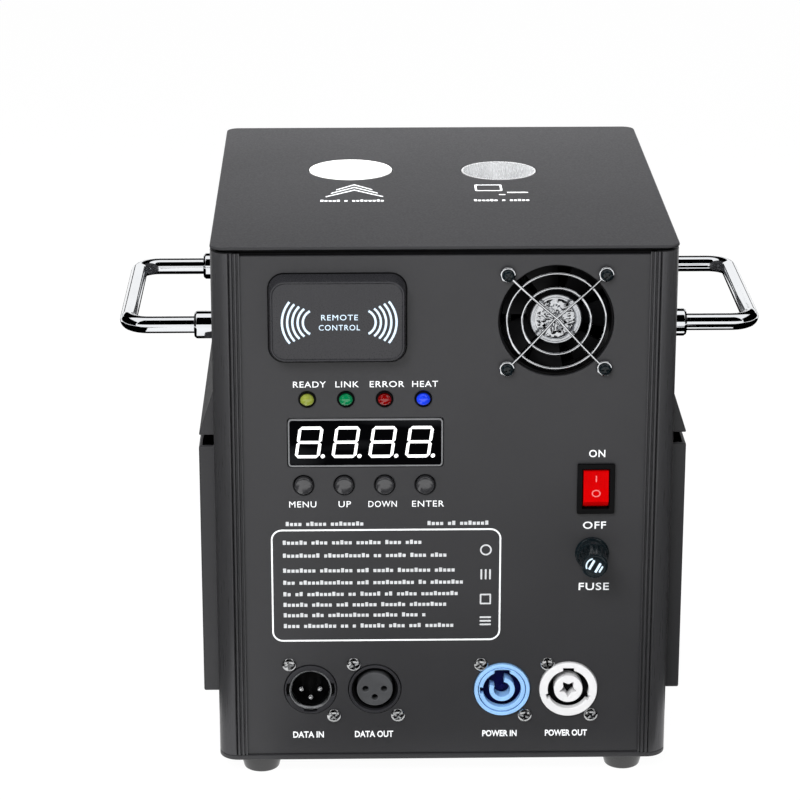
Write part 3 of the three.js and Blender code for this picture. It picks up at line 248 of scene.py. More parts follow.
# Navy: a darker copy of the blue plastic, painted shade for the inside of the power input's deep
# channel
finish("blue_plastic_painted_shade", BLACK, (12, 14, 66), 0.3, 6, 0.3, 0.4, 0.008, 0.3, specular=0.08)
finish(
    "white_plastic", "white_plastic", (228, 228, 229), 0.35, 7, 0.02, 0.4, 0.008, 0.3,
    coat=(0.2, 0.12),
)
# The white and the pale blue ink each carry a faint glow, which is painted light
finish("legend_ink", PAINT, INK, 0.55, 3, 0.04, 0.15, 0.01, 0.3, glow=(INK, 0.2))
finish("plate_ink", PAINT, (206, 208, 210), 0.55, 3, 0.08, 0.15, 0.01, 0.3)
finish("wave_ink", PAINT, BLUE_INK, 0.5, 3, 0.05, 0.15, 0.01, 0.3, glow=(BLUE_INK, 0.2))
finish(
    "digit_light", WINDOW, (238, 238, 238), 0.5, 2, 0.04, 0.3, 0.004, 0.2,
    glow=((250, 250, 250), 0.8),
)
finish("mark_pink", "red_plastic", (226, 118, 118), 0.4, 2, 0.06, 0.2, 0.004, 0.2)
finish("ceramic", "ceramic", (252, 252, 250), 0.6, 15, 0.02, 0.4, 0.02, 0.3)
finish("insulation", None, (214, 208, 192), 0.95, 4, 0.2, 0.5, 0.3, 0.8, stretch=(1, 1, 0.15))
finish("fuse_glass", None, (205, 214, 216), 0.12, 3, 0.1, 0.4, 0.003, 0.2, coat=(0.6, 0.05))
# Each lamp's lens, with its colour and a faint glow that is painted light, as the lamps are unlit
LENSES = {
    "ready": ("yellow_lens", (128, 138, 52), 0.1), "link": ("green_lens", (0, 112, 66), 0.1),
    "error": ("red_lens", (112, 0, 0), 0.08), "heat": ("blue_lens", (18, 56, 214), 0.2),
}
for name, colour, light in LENSES.values():
    finish(
        name, name, colour, 0.12, 1.5, 0.2, 0.5, 0.01, 0.2, coat=(1, 0.03), glow=(colour, light),
    )

# Green lacquer over copper tracks, with tinned pads
board = Recipe("circuit_board")
tracks = board.spread(board.cells(3.2, "DISTANCE_TO_EDGE"), 0, 1, 0.05, 0.09)
pads = board.spread(board.cells(5.1), 1, 0, 0.1, 0.13)
lacquer = board.mix(tracks, shade(34, 104, 62), shade(20, 74, 42))
board.sockets(
    Base_Color=board.mix(pads, lacquer, shade(178, 176, 160)),
    Roughness=board.spread(board.noise(2), 0.3, 0.5),
)
board.relief(tracks, 0.04, 0.5)
LOOKS["circuit_board"] = board.material, None

# Dark glass with a few faint lighter slanting streaks, a painted reflection on the pane
pane = Recipe("window_gloss")
painted_reflection = pane.noise(34, stretch=(0.25, 1, 1.6), detail=3, turn=(0, radians(-27), 0))
pane.sockets(
    Base_Color=pane.mix(pane.spread(painted_reflection, 0, 1, 0.5, 0.64), shade(2, 2, 3), shade(34, 35, 37)),
    Roughness=pane.spread(pane.noise(3), 0.08, 0.16), Specular_IOR_Level=0.01,
)
pane.relief(pane.noise(5), 0.002, 0.2)
LOOKS["window_gloss"] = pane.material, WINDOW

# Drawing

FRONT = Matrix.Rotation(radians(90), 4, "X")
ACROSS = Matrix(((0, 0, 1, 0), (1, 0, 0, 0), (0, 1, 0, 0), (0, 0, 0, 1)))
UPRIGHT = Matrix.Identity(4)
WELD = 1e-4
SHARP_EDGE = 30
CAP_HEIGHT = 0.71


def about_z(angle):
    """A turn about Z, in degrees."""
    return Matrix.Rotation(radians(angle), 4, "Z")


def polar(radius, angle):
    """The point at a radius and an angle in degrees."""
    return radius * cos(radians(angle)), radius * sin(radians(angle))


def arc(x, y, radius, start, end, steps=12):
    """Points on an arc about (x, y). The angles are in degrees."""
    angles = [radians(start + (end - start) * i / steps) for i in range(steps + 1)]
    return [(x + radius * cos(angle), y + radius * sin(angle)) for angle in angles]


def circle(x, y, radius, steps=64):
    return arc(x, y, radius, 0, 360, steps)[:-1]


def round_box(x, y, width, height, radius, steps=8):
    """A rectangle about (x, y) with round corners."""
    a, b = width / 2 - radius, height / 2 - radius
    return (
        arc(x + a, y - b, radius, -90, 0, steps) + arc(x + a, y + b, radius, 0, 90, steps)
        + arc(x - a, y + b, radius, 90, 180, steps) + arc(x - a, y - b, radius, 180, 270, steps)
    )


def softened(corners, reach, steps=4, closed=True):
    """An outline with its corners rounded off over a reach. An open one keeps its two ends."""
    points = [Vector(corner) for corner in corners]
    outline = []
    for i, corner in enumerate(points):
        if not closed and i in (0, len(points) - 1):
            outline.append(tuple(corner))
            continue
        before = points[i - 1] - corner
        after = points[(i + 1) % len(points)] - corner
        a = corner + before.normalized() * min(reach, before.length / 2.1)
        b = corner + after.normalized() * min(reach, after.length / 2.1)
        for k in range(steps + 1):
            t = k / steps
            outline.append(tuple(a * (1 - t) ** 2 + corner * 2 * t * (1 - t) + b * t * t))
    return outline


def from_curve(curve):
    """The closed mesh of a curve or of lettering."""
    drawing = bpy.data.objects.new("drawing", curve)
    mesh = bpy.data.meshes.new_from_object(drawing)
    shape = bmesh.new()
    shape.from_mesh(mesh)
    bpy.data.objects.remove(drawing)
    bpy.data.curves.remove(curve)
    bpy.data.meshes.remove(mesh)
    bmesh.ops.remove_doubles(shape, verts=shape.verts, dist=WELD)
    bmesh.ops.recalc_face_normals(shape, faces=shape.faces)
    return shape


def traced(loops, dimensions, closed):
    """A curve of straight runs between points of two or three numbers."""
    curve = bpy.data.curves.new("drawing", "CURVE")
    curve.dimensions = dimensions
    for loop in loops:
        spline = curve.splines.new("POLY")
        spline.points.add(len(loop) - 1)
        for point, place in zip(spline.points, loop):
            point.co = (*place, 0)[:3] + (1,)
        spline.use_cyclic_u = closed
    return curve


def flat(loops, thickness, edge=0.0, rings=2):
    """A sheet with holes, drawn flat: filled, thickened both ways and rounded at its rims."""
    curve = traced(loops, "2D", True)
    curve.fill_mode = "BOTH"
    curve.extrude = thickness / 2 - edge
    curve.bevel_depth = edge
    curve.bevel_resolution = rings
    curve.offset = -edge
    return from_curve(curve)


def rod(path, radius, rings=4, closed=False):
    """A round rod along a path of points."""
    curve = traced([path], "3D", closed)
    curve.bevel_depth = radius
    curve.bevel_resolution = rings
    curve.use_fill_caps = not closed
    return from_curve(curve)


def lettering(words, width, height, bold, spacing):
    """Plain lettering of a given width about its own middle, as thin as ink laid thickly."""
    text = bpy.data.curves.new("drawing", "FONT")
    text.body = words
    text.size = height / CAP_HEIGHT
    text.extrude = LEGEND / 2
    text.offset = bold
    text.resolution_u = 3
    text.space_character = spacing
    shape = from_curve(text)
    across = [vert.co.x for vert in shape.verts]
    rise = [vert.co.y for vert in shape.verts]
    middle = ((min(across) + max(across)) / 2, (min(rise) + max(rise)) / 2, 0)
    bmesh.ops.translate(shape, vec=-Vector(middle), verts=shape.verts)
    bmesh.ops.scale(shape, vec=(width / (max(across) - min(across)), 1, 1), verts=shape.verts)
    return shape


def turned(profile, steps=64):
    """A profile of (radius, height) points turned about its own Z axis."""
    shape = bmesh.new()
    verts = [shape.verts.new((radius, 0, height)) for radius, height in profile]
    edges = [shape.edges.new(pair) for pair in zip(verts, verts[1:])]
    if profile[0][0] > 0 or profile[-1][0] > 0:
        edges.append(shape.edges.new((verts[-1], verts[0])))
    bmesh.ops.spin(
        shape, geom=verts + edges, cent=(0, 0, 0), axis=(0, 0, 1), dvec=(0, 0, 0), angle=2 * pi,
        steps=steps, use_merge=True, use_duplicate=False,
    )
    bmesh.ops.remove_doubles(shape, verts=shape.verts, dist=WELD)
    bmesh.ops.recalc_face_normals(shape, faces=shape.faces)
    return shape


def lathed(corners, reach, rounds, steps=64):
    """A profile with softened corners, turned."""
    return turned(softened(corners, reach, rounds, closed=False), steps)


def eased(shape, reach, segments=2):
    """Rounds off the sharp edges."""
    edges = [edge for edge in shape.edges if edge.calc_face_angle(0) > radians(SHARP_EDGE)]
    bmesh.ops.bevel(
        shape, geom=edges, offset=reach, offset_type="OFFSET", segments=segments, profile=0.5,
        affect="EDGES", material=-1, clamp_overlap=True,
    )


def block(low, high, edge=0.0):
    """A box between two corners, whose edges can be rounded."""
    shape = bmesh.new()
    bmesh.ops.create_cube(shape, size=1)
    low, high = Vector(low), Vector(high)
    bmesh.ops.scale(shape, vec=high - low, verts=shape.verts)
    bmesh.ops.translate(shape, vec=(low + high) / 2, verts=shape.verts)
    if edge:
        eased(shape, edge)
    return shape


def put(shape, x, y, z, turn=FRONT):
    """Turns a shape from its drawing into the machine and moves it to its place."""
    bmesh.ops.transform(shape, matrix=Matrix.Translation((x, y, z)) @ turn, verts=shape.verts)
    return shape


def gathered(*shapes):
    """Several shapes as one."""
    whole = shapes[0]
    for shape in shapes[1:]:
        mesh = bpy.data.meshes.new("drawing")
        shape.to_mesh(mesh)
        shape.free()
        whole.from_mesh(mesh)
        bpy.data.meshes.remove(mesh)
    return whole


def placed(name, shape):
    """An object of a shape, in the scene."""
    mesh = bpy.data.meshes.new(name)
    shape.to_mesh(mesh)
    shape.free()
    made = bpy.data.objects.new(name, mesh)
    scene.collection.objects.link(made)
    return made


def carved(body, *tools):
    """A closed shape cut by others."""
    holders = [placed("drawing", shape) for shape in (body, *tools)]
    for tool in holders[1:]:
        modifier = holders[0].modifiers.new("cut", "BOOLEAN")
        modifier.object = tool
        modifier.operation = "DIFFERENCE"
        modifier.solver = "EXACT"
    graph = bpy.context.evaluated_depsgraph_get()
    mesh = bpy.data.meshes.new_from_object(holders[0].evaluated_get(graph))
    shape = bmesh.new()
    shape.from_mesh(mesh)
    bpy.data.meshes.remove(mesh)
    for holder in holders:
        used = holder.data
        bpy.data.objects.remove(holder)
        bpy.data.meshes.remove(used)
    bmesh.ops.remove_doubles(shape, verts=shape.verts, dist=WELD)
    return shape


def piece(name, shape, look, body="case", replaces=(), sharp=32, slot=None):
    """Makes a finished piece of a shape, and lets it ride on its body."""
    bmesh.ops.scale(shape, vec=(MM, MM, MM), verts=shape.verts)
    made = placed(name, shape)
    material, own_slot = LOOKS[look]
    slot = slot or own_slot
    made.data.materials.append(material)
    made.data.polygons.foreach_set("use_smooth", [True] * len(made.data.polygons))
    made.data.set_sharp_from_angle(angle=radians(sharp))
    # Large flat faces keep their own normals beside the small faces of an edge
    even = made.modifiers.new("even", "WEIGHTED_NORMAL")
    even.keep_sharp = True
    even.weight = 100
    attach(made, body)
    if replaces:
        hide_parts(*replaces)


def printed(name, loops, look="plate_ink"):
    """Marks that lie on the control panel."""
    piece(name, put(flat(loops, LEGEND), 0, FACE_Y - LEGEND / 2, 0), look)


def label(name, words, x, z, width, height, bold, spacing=1.1, y=FACE_Y, look="legend_ink"):
    shape = put(lettering(words, width, height, bold, spacing), x, y - LEGEND / 2, z)
    piece(f"label_{name}", shape, look)


# Case

NOZZLE_HOLE = 20.6
INLET_HOLE = 18.5
TOP_CORNER = 6
TOP_DROP = 0.02
REBATE = 2.2
SKIN_SHARE = 0.45
SEAL_WIDTH = 4
SEAL_LAP = 0.3
nozzle = centre_mm("nozzle_liner")
inlet = centre_mm("hopper")
case_width = case_high.x - case_low.x
case_depth = case_high.y - case_low.y
case_middle = (case_low.y + case_high.y) / 2


def case_outline(inset, corner, steps=14):
    """The case's outline seen from above, drawn in by an inset."""
    return round_box(
        0, case_middle, case_width - 2 * inset, case_depth - 2 * inset, corner, steps,
    )


def level(name, loops, bottom, top, look="case_paint", edge=0.0, **details):
    """A level sheet, or a post, between two heights."""
    shape = put(flat(loops, top - bottom, edge, 3), 0, 0, (bottom + top) / 2, UPRIGHT)
    piece(name, shape, look, **details)


# The top plate stands out over a rebate, which leaves a dark line under its edge; the part under
# the rebate is near-black rubber, painted shade that darkens that line
skin = (case_high.z - case_low.z) * SKIN_SHARE
holes = [circle(nozzle.x, nozzle.y, NOZZLE_HOLE, 96), circle(inlet.x, inlet.y, INLET_HOLE, 96)]
stepped_outline = case_outline(REBATE, CORNER - REBATE)
level(
    "top_sheet", [case_outline(0, TOP_CORNER, 10), *holes], case_high.z - skin - TOP_DROP,
    case_high.z - TOP_DROP, edge=skin * 0.4, replaces=["top_plate"],
)
level(
    "top_rebate_painted_shade", [stepped_outline, *holes], case_low.z, case_high.z - skin, "gasket_and_painted_shade_rubber",
)
# A seal fills the gap between the top plate and the tops of the four panels
level(
    "top_seal", [stepped_outline, case_outline(REBATE + SEAL_WIDTH, CORNER)], panel_high.z,
    case_low.z + SEAL_LAP, "gasket_and_painted_shade_rubber",
)
base_low, base_high = box_mm("base_plate")
level(
    "base_sheet", [case_outline(0, CORNER)], base_low.z, base_high.z, edge=SHEET_EDGE,
    replaces=["base_plate"],
)

RIDGES = (13.1, 11.3, 9.4, 7.5)
RIDGE_REACH = 0.62
RIDGE_DEPTH = 0.35
RIDGE_STEPS = 8
VALLEY_DEPTH = 1.3
POST_LEG = 13.3


def on_face(across, along, depth):
    """A point by a post's face: how far in it lies, how far along towards the corner, how deep."""
    lean = asin(max(CORNER - across, 0) / CORNER)
    return (
        across - along * cos(lean) + depth * sin(lean),
        CORNER - CORNER * cos(lean) + along * sin(lean) + depth * cos(lean),
    )


def ridge(across, start, end):
    """A round ridge, from one place along the face to another."""
    radius = (RIDGE_REACH ** 2 + RIDGE_DEPTH ** 2) / (2 * RIDGE_DEPTH)
    places = [start + (end - start) * i / RIDGE_STEPS for i in range(RIDGE_STEPS + 1)]
    return [on_face(across, a, radius - (radius ** 2 - a ** 2) ** 0.5) for a in places]


def post_outline(side, end):
    """The section of a corner post: ridges down both faces, round at the corner."""
    lip, floor, groove, web = 0.9, 10.3, 3.5, 6
    half = ridge(RIDGES[0], RIDGES[0] - POST_LEG, RIDGE_REACH)
    for before, across in zip(RIDGES, RIDGES[1:]):
        half.append(on_face((before + across) / 2, 0, VALLEY_DEPTH))
        half += ridge(across, -RIDGE_REACH, 0 if across == RIDGES[-1] else RIDGE_REACH)
    lean = degrees(asin((CORNER - RIDGES[-1]) / CORNER))
    corner = arc(CORNER, CORNER, CORNER, -90 - lean, -180 + lean, 12)[1:-1]
    mirrored = [(v, u) for u, v in reversed(half)]
    rest = [
        (lip, POST_LEG), (lip, floor), (groove, floor), (groove, POST_LEG), (web, POST_LEG),
        (web, web), (POST_LEG, web), (POST_LEG, groove), (floor, groove), (floor, lip),
        (POST_LEG, lip),
    ]
    near_y = case_low.y if end < 0 else case_high.y
    return [
        (side * (case_width / 2 - u), near_y - end * v) for u, v in half + corner + mirrored + rest
    ]


for end_name, end in ENDS.items():
    for side_name, side in SIDES.items():
        place = f"{end_name}_{side_name}"
        node = f"corner_post_{place}"
        low, high = box_mm(node)
        level(
            f"post_{place}", [post_outline(side, end)], low.z, high.z, "post_paint",
            replaces=[node], sharp=40,
        )

# Control panel, with an opening for each part that is set in it
PANEL_CORNER = 0.5
PANEL_EDGE = 0.35
FAN_OPENING = 26
LAMP_HOLE = 3.9
BUTTON_HOLE = 4.85
FUSE_HOLE = 6.5
SIGNAL_HOLE = 12.4
POWER_IN_HOLE = 13.3
POWER_OUT_HOLE = 13.8
SWITCH_OPENING = (15.5, 21.8)
DISPLAY_FIT = 0.3
display_low, display_high = box_mm("display_module")
display = (display_low + display_high) / 2
switch_low, switch_high = box_mm("switch_frame")
switch = (switch_low + switch_high) / 2
fan = centre_mm("fan_frame")
fuse = centre_mm("fuse_holder")


def hole(node, radius, steps=64):
    """A round hole before the middle of a node."""
    place = centre_mm(node)
    return circle(place.x, place.z, radius, steps)


def front_outline(low, high, corner, spare=0.0):
    """The outline of a box seen from the front, with some room round it."""
    middle = (low + high) / 2
    width, height = high.x - low.x + 2 * spare, high.z - low.z + 2 * spare
    return round_box(middle.x, middle.z, width, height, corner)


def upright(name, node, *openings):
    """An upright panel as large as a node's box, with openings."""
    low, high = box_mm(node)
    outline = front_outline(low, high, PANEL_CORNER)
    shape = flat([outline, *openings], high.y - low.y, PANEL_EDGE)
    piece(name, put(shape, 0, (low.y + high.y) / 2, 0), "case_paint", replaces=[node])


upright(
    "control_sheet", "control_panel", hole("fan_frame", FAN_OPENING, 96),
    *[hole(f"lamp_{name}", LAMP_HOLE, 32) for name in LAMPS],
    *[hole(f"button_{name}", BUTTON_HOLE, 48) for name in BUTTONS],
    front_outline(display_low, display_high, 1.5, DISPLAY_FIT),
    round_box(switch.x, switch.z, *SWITCH_OPENING, 1),
    hole("fuse_holder", FUSE_HOLE, 48),
    hole("signal_input", SIGNAL_HOLE), hole("signal_output", SIGNAL_HOLE),
    hole("power_input", POWER_IN_HOLE), hole("power_output", POWER_OUT_HOLE),
)

# Rear panel, with its two columns of slots
REAR_SLOT = (44, 4, 1.95)
REAR_COLUMNS = (-28, 28)
REAR_ROWS = [case_high.z - 52 - 9 * row for row in range(8)]
upright(
    "rear_sheet", "rear_panel",
    *[round_box(x, z, *REAR_SLOT, 6) for z in REAR_ROWS for x in REAR_COLUMNS],
)

# Side vent covers: a pressed sheet with a sloping hood, an open slot and a shallow box
COVER_SHEET = 1.5
COVER_LAP = 1
slot_low, slot_high = 157.7, 163.0
for side_name, side in SIDES.items():
    node = f"vent_cover_{side_name}"
    low, high = box_mm(node)
    panel, outer = sorted((abs(low.x), abs(high.x)))
    sheet, inner = panel + COVER_SHEET, outer - COVER_SHEET
    slope = (high.z - slot_high) / (outer - sheet)
    length = high.y - low.y
    section = softened([
        (panel, low.z), (outer, low.z), (outer, slot_low), (sheet, slot_low), (sheet, slot_high),
        (outer, slot_high), (sheet, high.z), (panel, high.z),
    ], 0.9)
    box_hollow = [
        (sheet, low.z + COVER_SHEET), (inner, low.z + COVER_SHEET), (inner, slot_low + COVER_LAP),
        (sheet, slot_low + COVER_LAP),
    ]
    hood_hollow = [
        (sheet, slot_high - COVER_LAP), (inner, slot_high - COVER_LAP), (inner, slot_high),
        (sheet, slot_high + (inner - sheet) * slope),
    ]
    shape = carved(*[
        put(flat([[(side * x, z) for x, z in outline]], depth, edge, 3), 0, (low.y + high.y) / 2, 0)
        for outline, depth, edge in (
            (section, length, 0.7), (box_hollow, length - 2 * COVER_SHEET, 0),
            (hood_hollow, length - 2 * COVER_SHEET, 0),
        )
    ])
    piece(f"cover_{side_name}", shape, "case_paint", replaces=[node])

# Feet
FOOT = [(0, 1.6), (2.6, 1.6), (2.6, 0), (8.2, 0), (9.2, 4), (10, 8), (0, 8)]
for end_name in ENDS:
    for side_name in SIDES:
        node = f"foot_{end_name}_{side_name}"
        place = centre_mm(node)
        shape = put(lathed(FOOT, 0.9, 5), place.x, place.y, 0, UPRIGHT)
        piece(f"rubber_{node}", shape, "foot_rubber", replaces=[node])

# Handles and their collars
ROD = 4
BEND = 10
COLLAR_GAP = 0.3
bends = [(BEND * (1 - sin(radians(a))), BEND * (1 - cos(radians(a)))) for a in range(0, 91, 6)]
for side_name, side in SIDES.items():
    node = f"handle_{side_name}"
    low, high = box_mm(node)
    foot_x, bar_x = (low.x, high.x - ROD) if side > 0 else (high.x, low.x + ROD)
    near, far, z = low.y + ROD, high.y - ROD, (low.z + high.z) / 2
    path = [
        (foot_x, near, z), *[(bar_x - side * u, near + v, z) for u, v in bends],
        *[(bar_x - side * u, far - v, z) for u, v in reversed(bends)], (foot_x, far, z),
    ]
    piece(f"bow_{side_name}", rod(path, ROD, 8), "chrome", replaces=[node])
    for end_name in ENDS:
        place = f"{end_name}_{side_name}"
        node = f"handle_collar_{place}"
        low, high = box_mm(node)
        length, radius = high.x - low.x, (high.z - low.z) / 2
        shape = lathed([
            (ROD + COLLAR_GAP, 0), (radius, 0), (radius, length - 1.1), (radius - 0.9, length),
            (ROD + COLLAR_GAP, length),
        ], 0.3, 4)
        foot = low.x if side > 0 else high.x
        turn = Matrix.Rotation(radians(90 * side), 4, "Y")
        put(shape, foot, (low.y + high.y) / 2, (low.z + high.z) / 2, turn)
        piece(f"collar_{place}", shape, "chrome", replaces=[node])

# Receiver cover: a raised pad with sloping sides and a fine bead round its face
PAD_CORNER = 7
PAD_SLOPE = (1.8, 3.9)
PAD_STEP = 1.0
PAD_RECESS = 0.4
PAD_HOLLOW = (52, 30)
PAD_SKIN = 2.2
BEAD = 0.7
cover_low, cover_high = box_mm("receiver_cover")
cover = (cover_low + cover_high) / 2
cover_width, cover_height = cover_high.x - cover_low.x, cover_high.z - cover_low.z
pad_y = cover_low.y + PAD_RECESS


def drawn_out(shape, face, rise, scale=(1, 1, 1)):
    """Pulls a face out and scales it, and gives the face at the new end."""
    result = bmesh.ops.extrude_face_region(shape, geom=[face], use_keep_orig=True)["geom"]
    verts = [item for item in result if isinstance(item, bmesh.types.BMVert)]
    bmesh.ops.scale(shape, vec=scale, verts=verts)
    bmesh.ops.translate(shape, vec=(0, 0, rise), verts=verts)
    return next(item for item in result if isinstance(item, bmesh.types.BMFace))


pad = bmesh.new()
outline = [
    pad.verts.new((x, y, 0)) for x, y in round_box(0, 0, cover_width, cover_height, PAD_CORNER)
]
under = bmesh.ops.contextual_create(pad, geom=outline)["faces"][0]
middle = drawn_out(pad, under, PAD_STEP)
end = drawn_out(
    pad, middle, cover_high.y - cover_low.y - PAD_STEP,
    ((cover_width - PAD_SLOPE[0]) / cover_width, (cover_height - PAD_SLOPE[1]) / cover_height, 1),
)
bmesh.ops.delete(pad, geom=[middle], context="FACES_ONLY")
bmesh.ops.recalc_face_normals(pad, faces=pad.faces)
bmesh.ops.inset_individual(pad, faces=[end], thickness=BEAD, depth=0)
bmesh.ops.inset_individual(pad, faces=[end], thickness=0.3, depth=-PAD_RECESS)
eased(pad, 0.22, 3)
hollow_x, hollow_z = PAD_HOLLOW[0] / 2, PAD_HOLLOW[1] / 2
shape = carved(put(pad, cover.x, cover_high.y, cover.z), block(
    (cover.x - hollow_x, cover_low.y + PAD_SKIN, cover.z - hollow_z),
    (cover.x + hollow_x, cover_high.y + 1, cover.z + hollow_z),
))
piece("receiver_pad", shape, "receiver_paint", replaces=["receiver_cover"])
# A near-black ring round the pad's foot on the panel: a painted shadow line round the raised pad
shape = flat([
    round_box(0, 0, cover_width + 2 * out, cover_height + 2 * out, PAD_CORNER + out)
    for out in (0.5, -0.5)
], 0.7, 0.2)
piece("receiver_painted_shadow_ring", put(shape, cover.x, FACE_Y - 0.3, cover.z), "gasket_and_painted_shade_rubber")

# Five arcs at each end of the words, which grow away from them between two slanting lines
WAVE_PITCH = 2.33
WAVE_RADIUS = 6
WAVE_HEIGHTS = (5.3, 6.4, 7.5, 8.6, 9.65)
WAVE_HALF = 0.5
WAVE_Z = 224.6
for name, x in (("left", -57.6), ("right", -37.1)):
    loops = []
    for i, height in enumerate(WAVE_HEIGHTS):
        radius = WAVE_RADIUS + WAVE_PITCH * i
        half = degrees(asin(height / radius))
        ring = arc(0, 0, radius + WAVE_HALF, -half, half, 14)
        ring += arc(0, 0, radius - WAVE_HALF, half, -half, 14)
        loops.append([(SIDES[name] * u, v) for u, v in ring])
    shape = put(flat(loops, LEGEND), x, pad_y - LEGEND / 2, WAVE_Z)
    piece(f"wave_marks_{name}", shape, "wave_ink")
label("remote", "REMOTE", -47.2, 226.9, 16.4, 2.6, 0, 1.15, pad_y, "wave_ink")
label("control", "CONTROL", -47.3, 222.2, 18.4, 2.6, 0, 1.15, pad_y, "wave_ink")

# Lamps. The labels are given by their middle and their width.
LAMP_LABELS = {
    "ready": (-61, 14.8), "link": (-44, 10.6), "error": (-26, 15.6), "heat": (-8.8, 11.7),
}
LAMP_LABEL_Z = 193.5
DOME = (3.15, 2.4)
DOME_SQUASH = 0.88
for name in LAMPS:
    node = f"lamp_{name}"
    low, high = box_mm(node)
    place = (low + high) / 2
    reach = high.y - low.y
    ring = lathed([
        (3.1, reach - 3.2), (3.1, reach - 2.3), (3.4, reach - 2.1), (3.85, reach - 2.6),
        (3.85, reach - 3.2),
    ], 0.25, 3, 48)
    piece(f"lamp_ring_{name}", put(ring, place.x, high.y, place.z), "black_plastic")
    radius, rise = DOME
    dome = [(0, 0), (2.7, 0), (2.7, reach - 3.4), (radius, reach - 3.4), (radius, reach - rise)]
    for angle in range(12, 90, 6):
        turn = radians(angle)
        dome.append((radius * cos(turn), reach - rise + rise * sin(turn)))
    shape = turned([*dome, (0, reach)], 48)
    bmesh.ops.scale(shape, vec=(1, DOME_SQUASH, 1), verts=shape.verts)
    put(shape, place.x, high.y, place.z)
    piece(f"lens_{name}", shape, LENSES[name][0], replaces=[node])
    x, width = LAMP_LABELS[name]
    label(name, name.upper(), x, LAMP_LABEL_Z, width, 2.9, 0.01)

# Display: a dark window in a thin light grey frame, whose light grey is a painted highlight on the
# window's bevel, and four digits of seven bars and a point
DISPLAY_RIM = 0.75
DISPLAY_RIM_DEPTH = 2.6
DIGIT = (11.3, 15.1)
DIGIT_PITCH = 16.7
FIRST_DIGIT = -25.6
DIGIT_LEAN = radians(8)
BAR = 1.35
BAR_GAP = 0.12
inward = Vector((DISPLAY_RIM, 0, DISPLAY_RIM))
window = block(display_low + inward + Vector((0, 0.2, 0)), display_high - inward, 0.3)
piece("display_window", window, "window_gloss", replaces=["display_module"])
width, height = display_high.x - display_low.x, display_high.z - display_low.z
rim = flat([
    round_box(0, 0, width, height, 1.8),
    round_box(0, 0, width - 2 * DISPLAY_RIM, height - 2 * DISPLAY_RIM, 1.1),
], DISPLAY_RIM_DEPTH, 0.3)
put(rim, display.x, display_low.y + DISPLAY_RIM_DEPTH / 2, display.z)
piece("display_rim", rim, "display_rim_painted_highlight")


def bar(x0, y0, x1, y1):
    """One bar of a digit, pointed at both ends."""
    run = Vector((x1 - x0, y1 - y0)).normalized()
    side, tip = Vector((-run.y, run.x)) * BAR / 2, run * BAR / 2
    a, b = Vector((x0, y0)) + run * BAR_GAP, Vector((x1, y1)) - run * BAR_GAP
    corners = (a, a + tip + side, b - tip + side, b, b - tip - side, a + tip - side)
    return [tuple(corner) for corner in corners]


w, h = DIGIT[0] / 2 - BAR / 2, DIGIT[1] / 2 - BAR / 2
digit = [bar(-w, y, w, y) for y in (h, 0, -h)]
digit += [bar(x, y, x, y + h) for y in (0, -h) for x in (-w, w)]
digit.append(circle(w + 2.1, -h + 0.15, 0.95, 16))
lean = Matrix.Identity(4)
lean[0][1] = sin(DIGIT_LEAN) / cos(DIGIT_LEAN)
for i in range(4):
    x = display.x + FIRST_DIGIT + DIGIT_PITCH * i
    shape = flat(digit, LEGEND, 0.03, 1)
    put(shape, x, display_low.y + 0.16, display.z + 0.4, FRONT @ lean)
    piece(f"digit_{i + 1}", shape, "digit_light")

# Buttons: domed caps on stems, with a collar behind the panel
BUTTON_LABELS = {
    "menu": (-64.6, 12.4), "up": (-45.4, 5.7), "down": (-28.1, 13), "enter": (-7.3, 14.6),
}
BUTTON_LABEL_Z = 135.8
BUTTON_PLAY = 0.3
for name in BUTTONS:
    node = f"button_{name}"
    low, high = box_mm(node)
    place = (low + high) / 2
    reach = high.y - low.y
    cap = high.y - BACK_Y - BUTTON_PLAY
    key = lathed([
        (0, 0), (2, 0), (2, cap - 1.4), (5.95, cap - 1.4), (5.95, cap), (4.2, cap),
        (4.2, reach - 1.2), (3.6, reach - 0.4), (2.2, reach - 0.1), (0, reach),
    ], 0.5, 5, 56)
    put(key, place.x, high.y, place.z)
    piece(f"key_{name}", key, "button_plastic", body=node, replaces=[node])
    x, width = BUTTON_LABELS[name]
    label(name, name.upper(), x, BUTTON_LABEL_Z, width, 3.0, 0)

# Power switch
BEZEL_WIDTH = 17.2
POCKET = (12.4, 19.2)
POCKET_DEPTH = 9
HOUSING = (14.9, 21.2)
bezel_front = switch_low.y
bezel = flat([
    round_box(0, 0, BEZEL_WIDTH, switch_high.z - switch_low.z, 0.6),
    round_box(0, 0, *POCKET, 0.4),
], FACE_Y - bezel_front, 0.3, 3)
put(bezel, switch.x, (FACE_Y + bezel_front) / 2, switch.z)
piece("switch_bezel", bezel, "black_plastic")


def about_switch(size, front, rear, edge=0.0):
    """A box behind the switch's middle, from one depth to another."""
    x, z = size[0] / 2, size[1] / 2
    return block((switch.x - x, front, switch.z - z), (switch.x + x, rear, switch.z + z), edge)


housing = carved(
    about_switch(HOUSING, FACE_Y, switch_high.y, 0.4),
    about_switch(POCKET, FACE_Y - 1, bezel_front + POCKET_DEPTH),
)
piece("switch_housing", housing, "black_plastic", replaces=["switch_frame"])

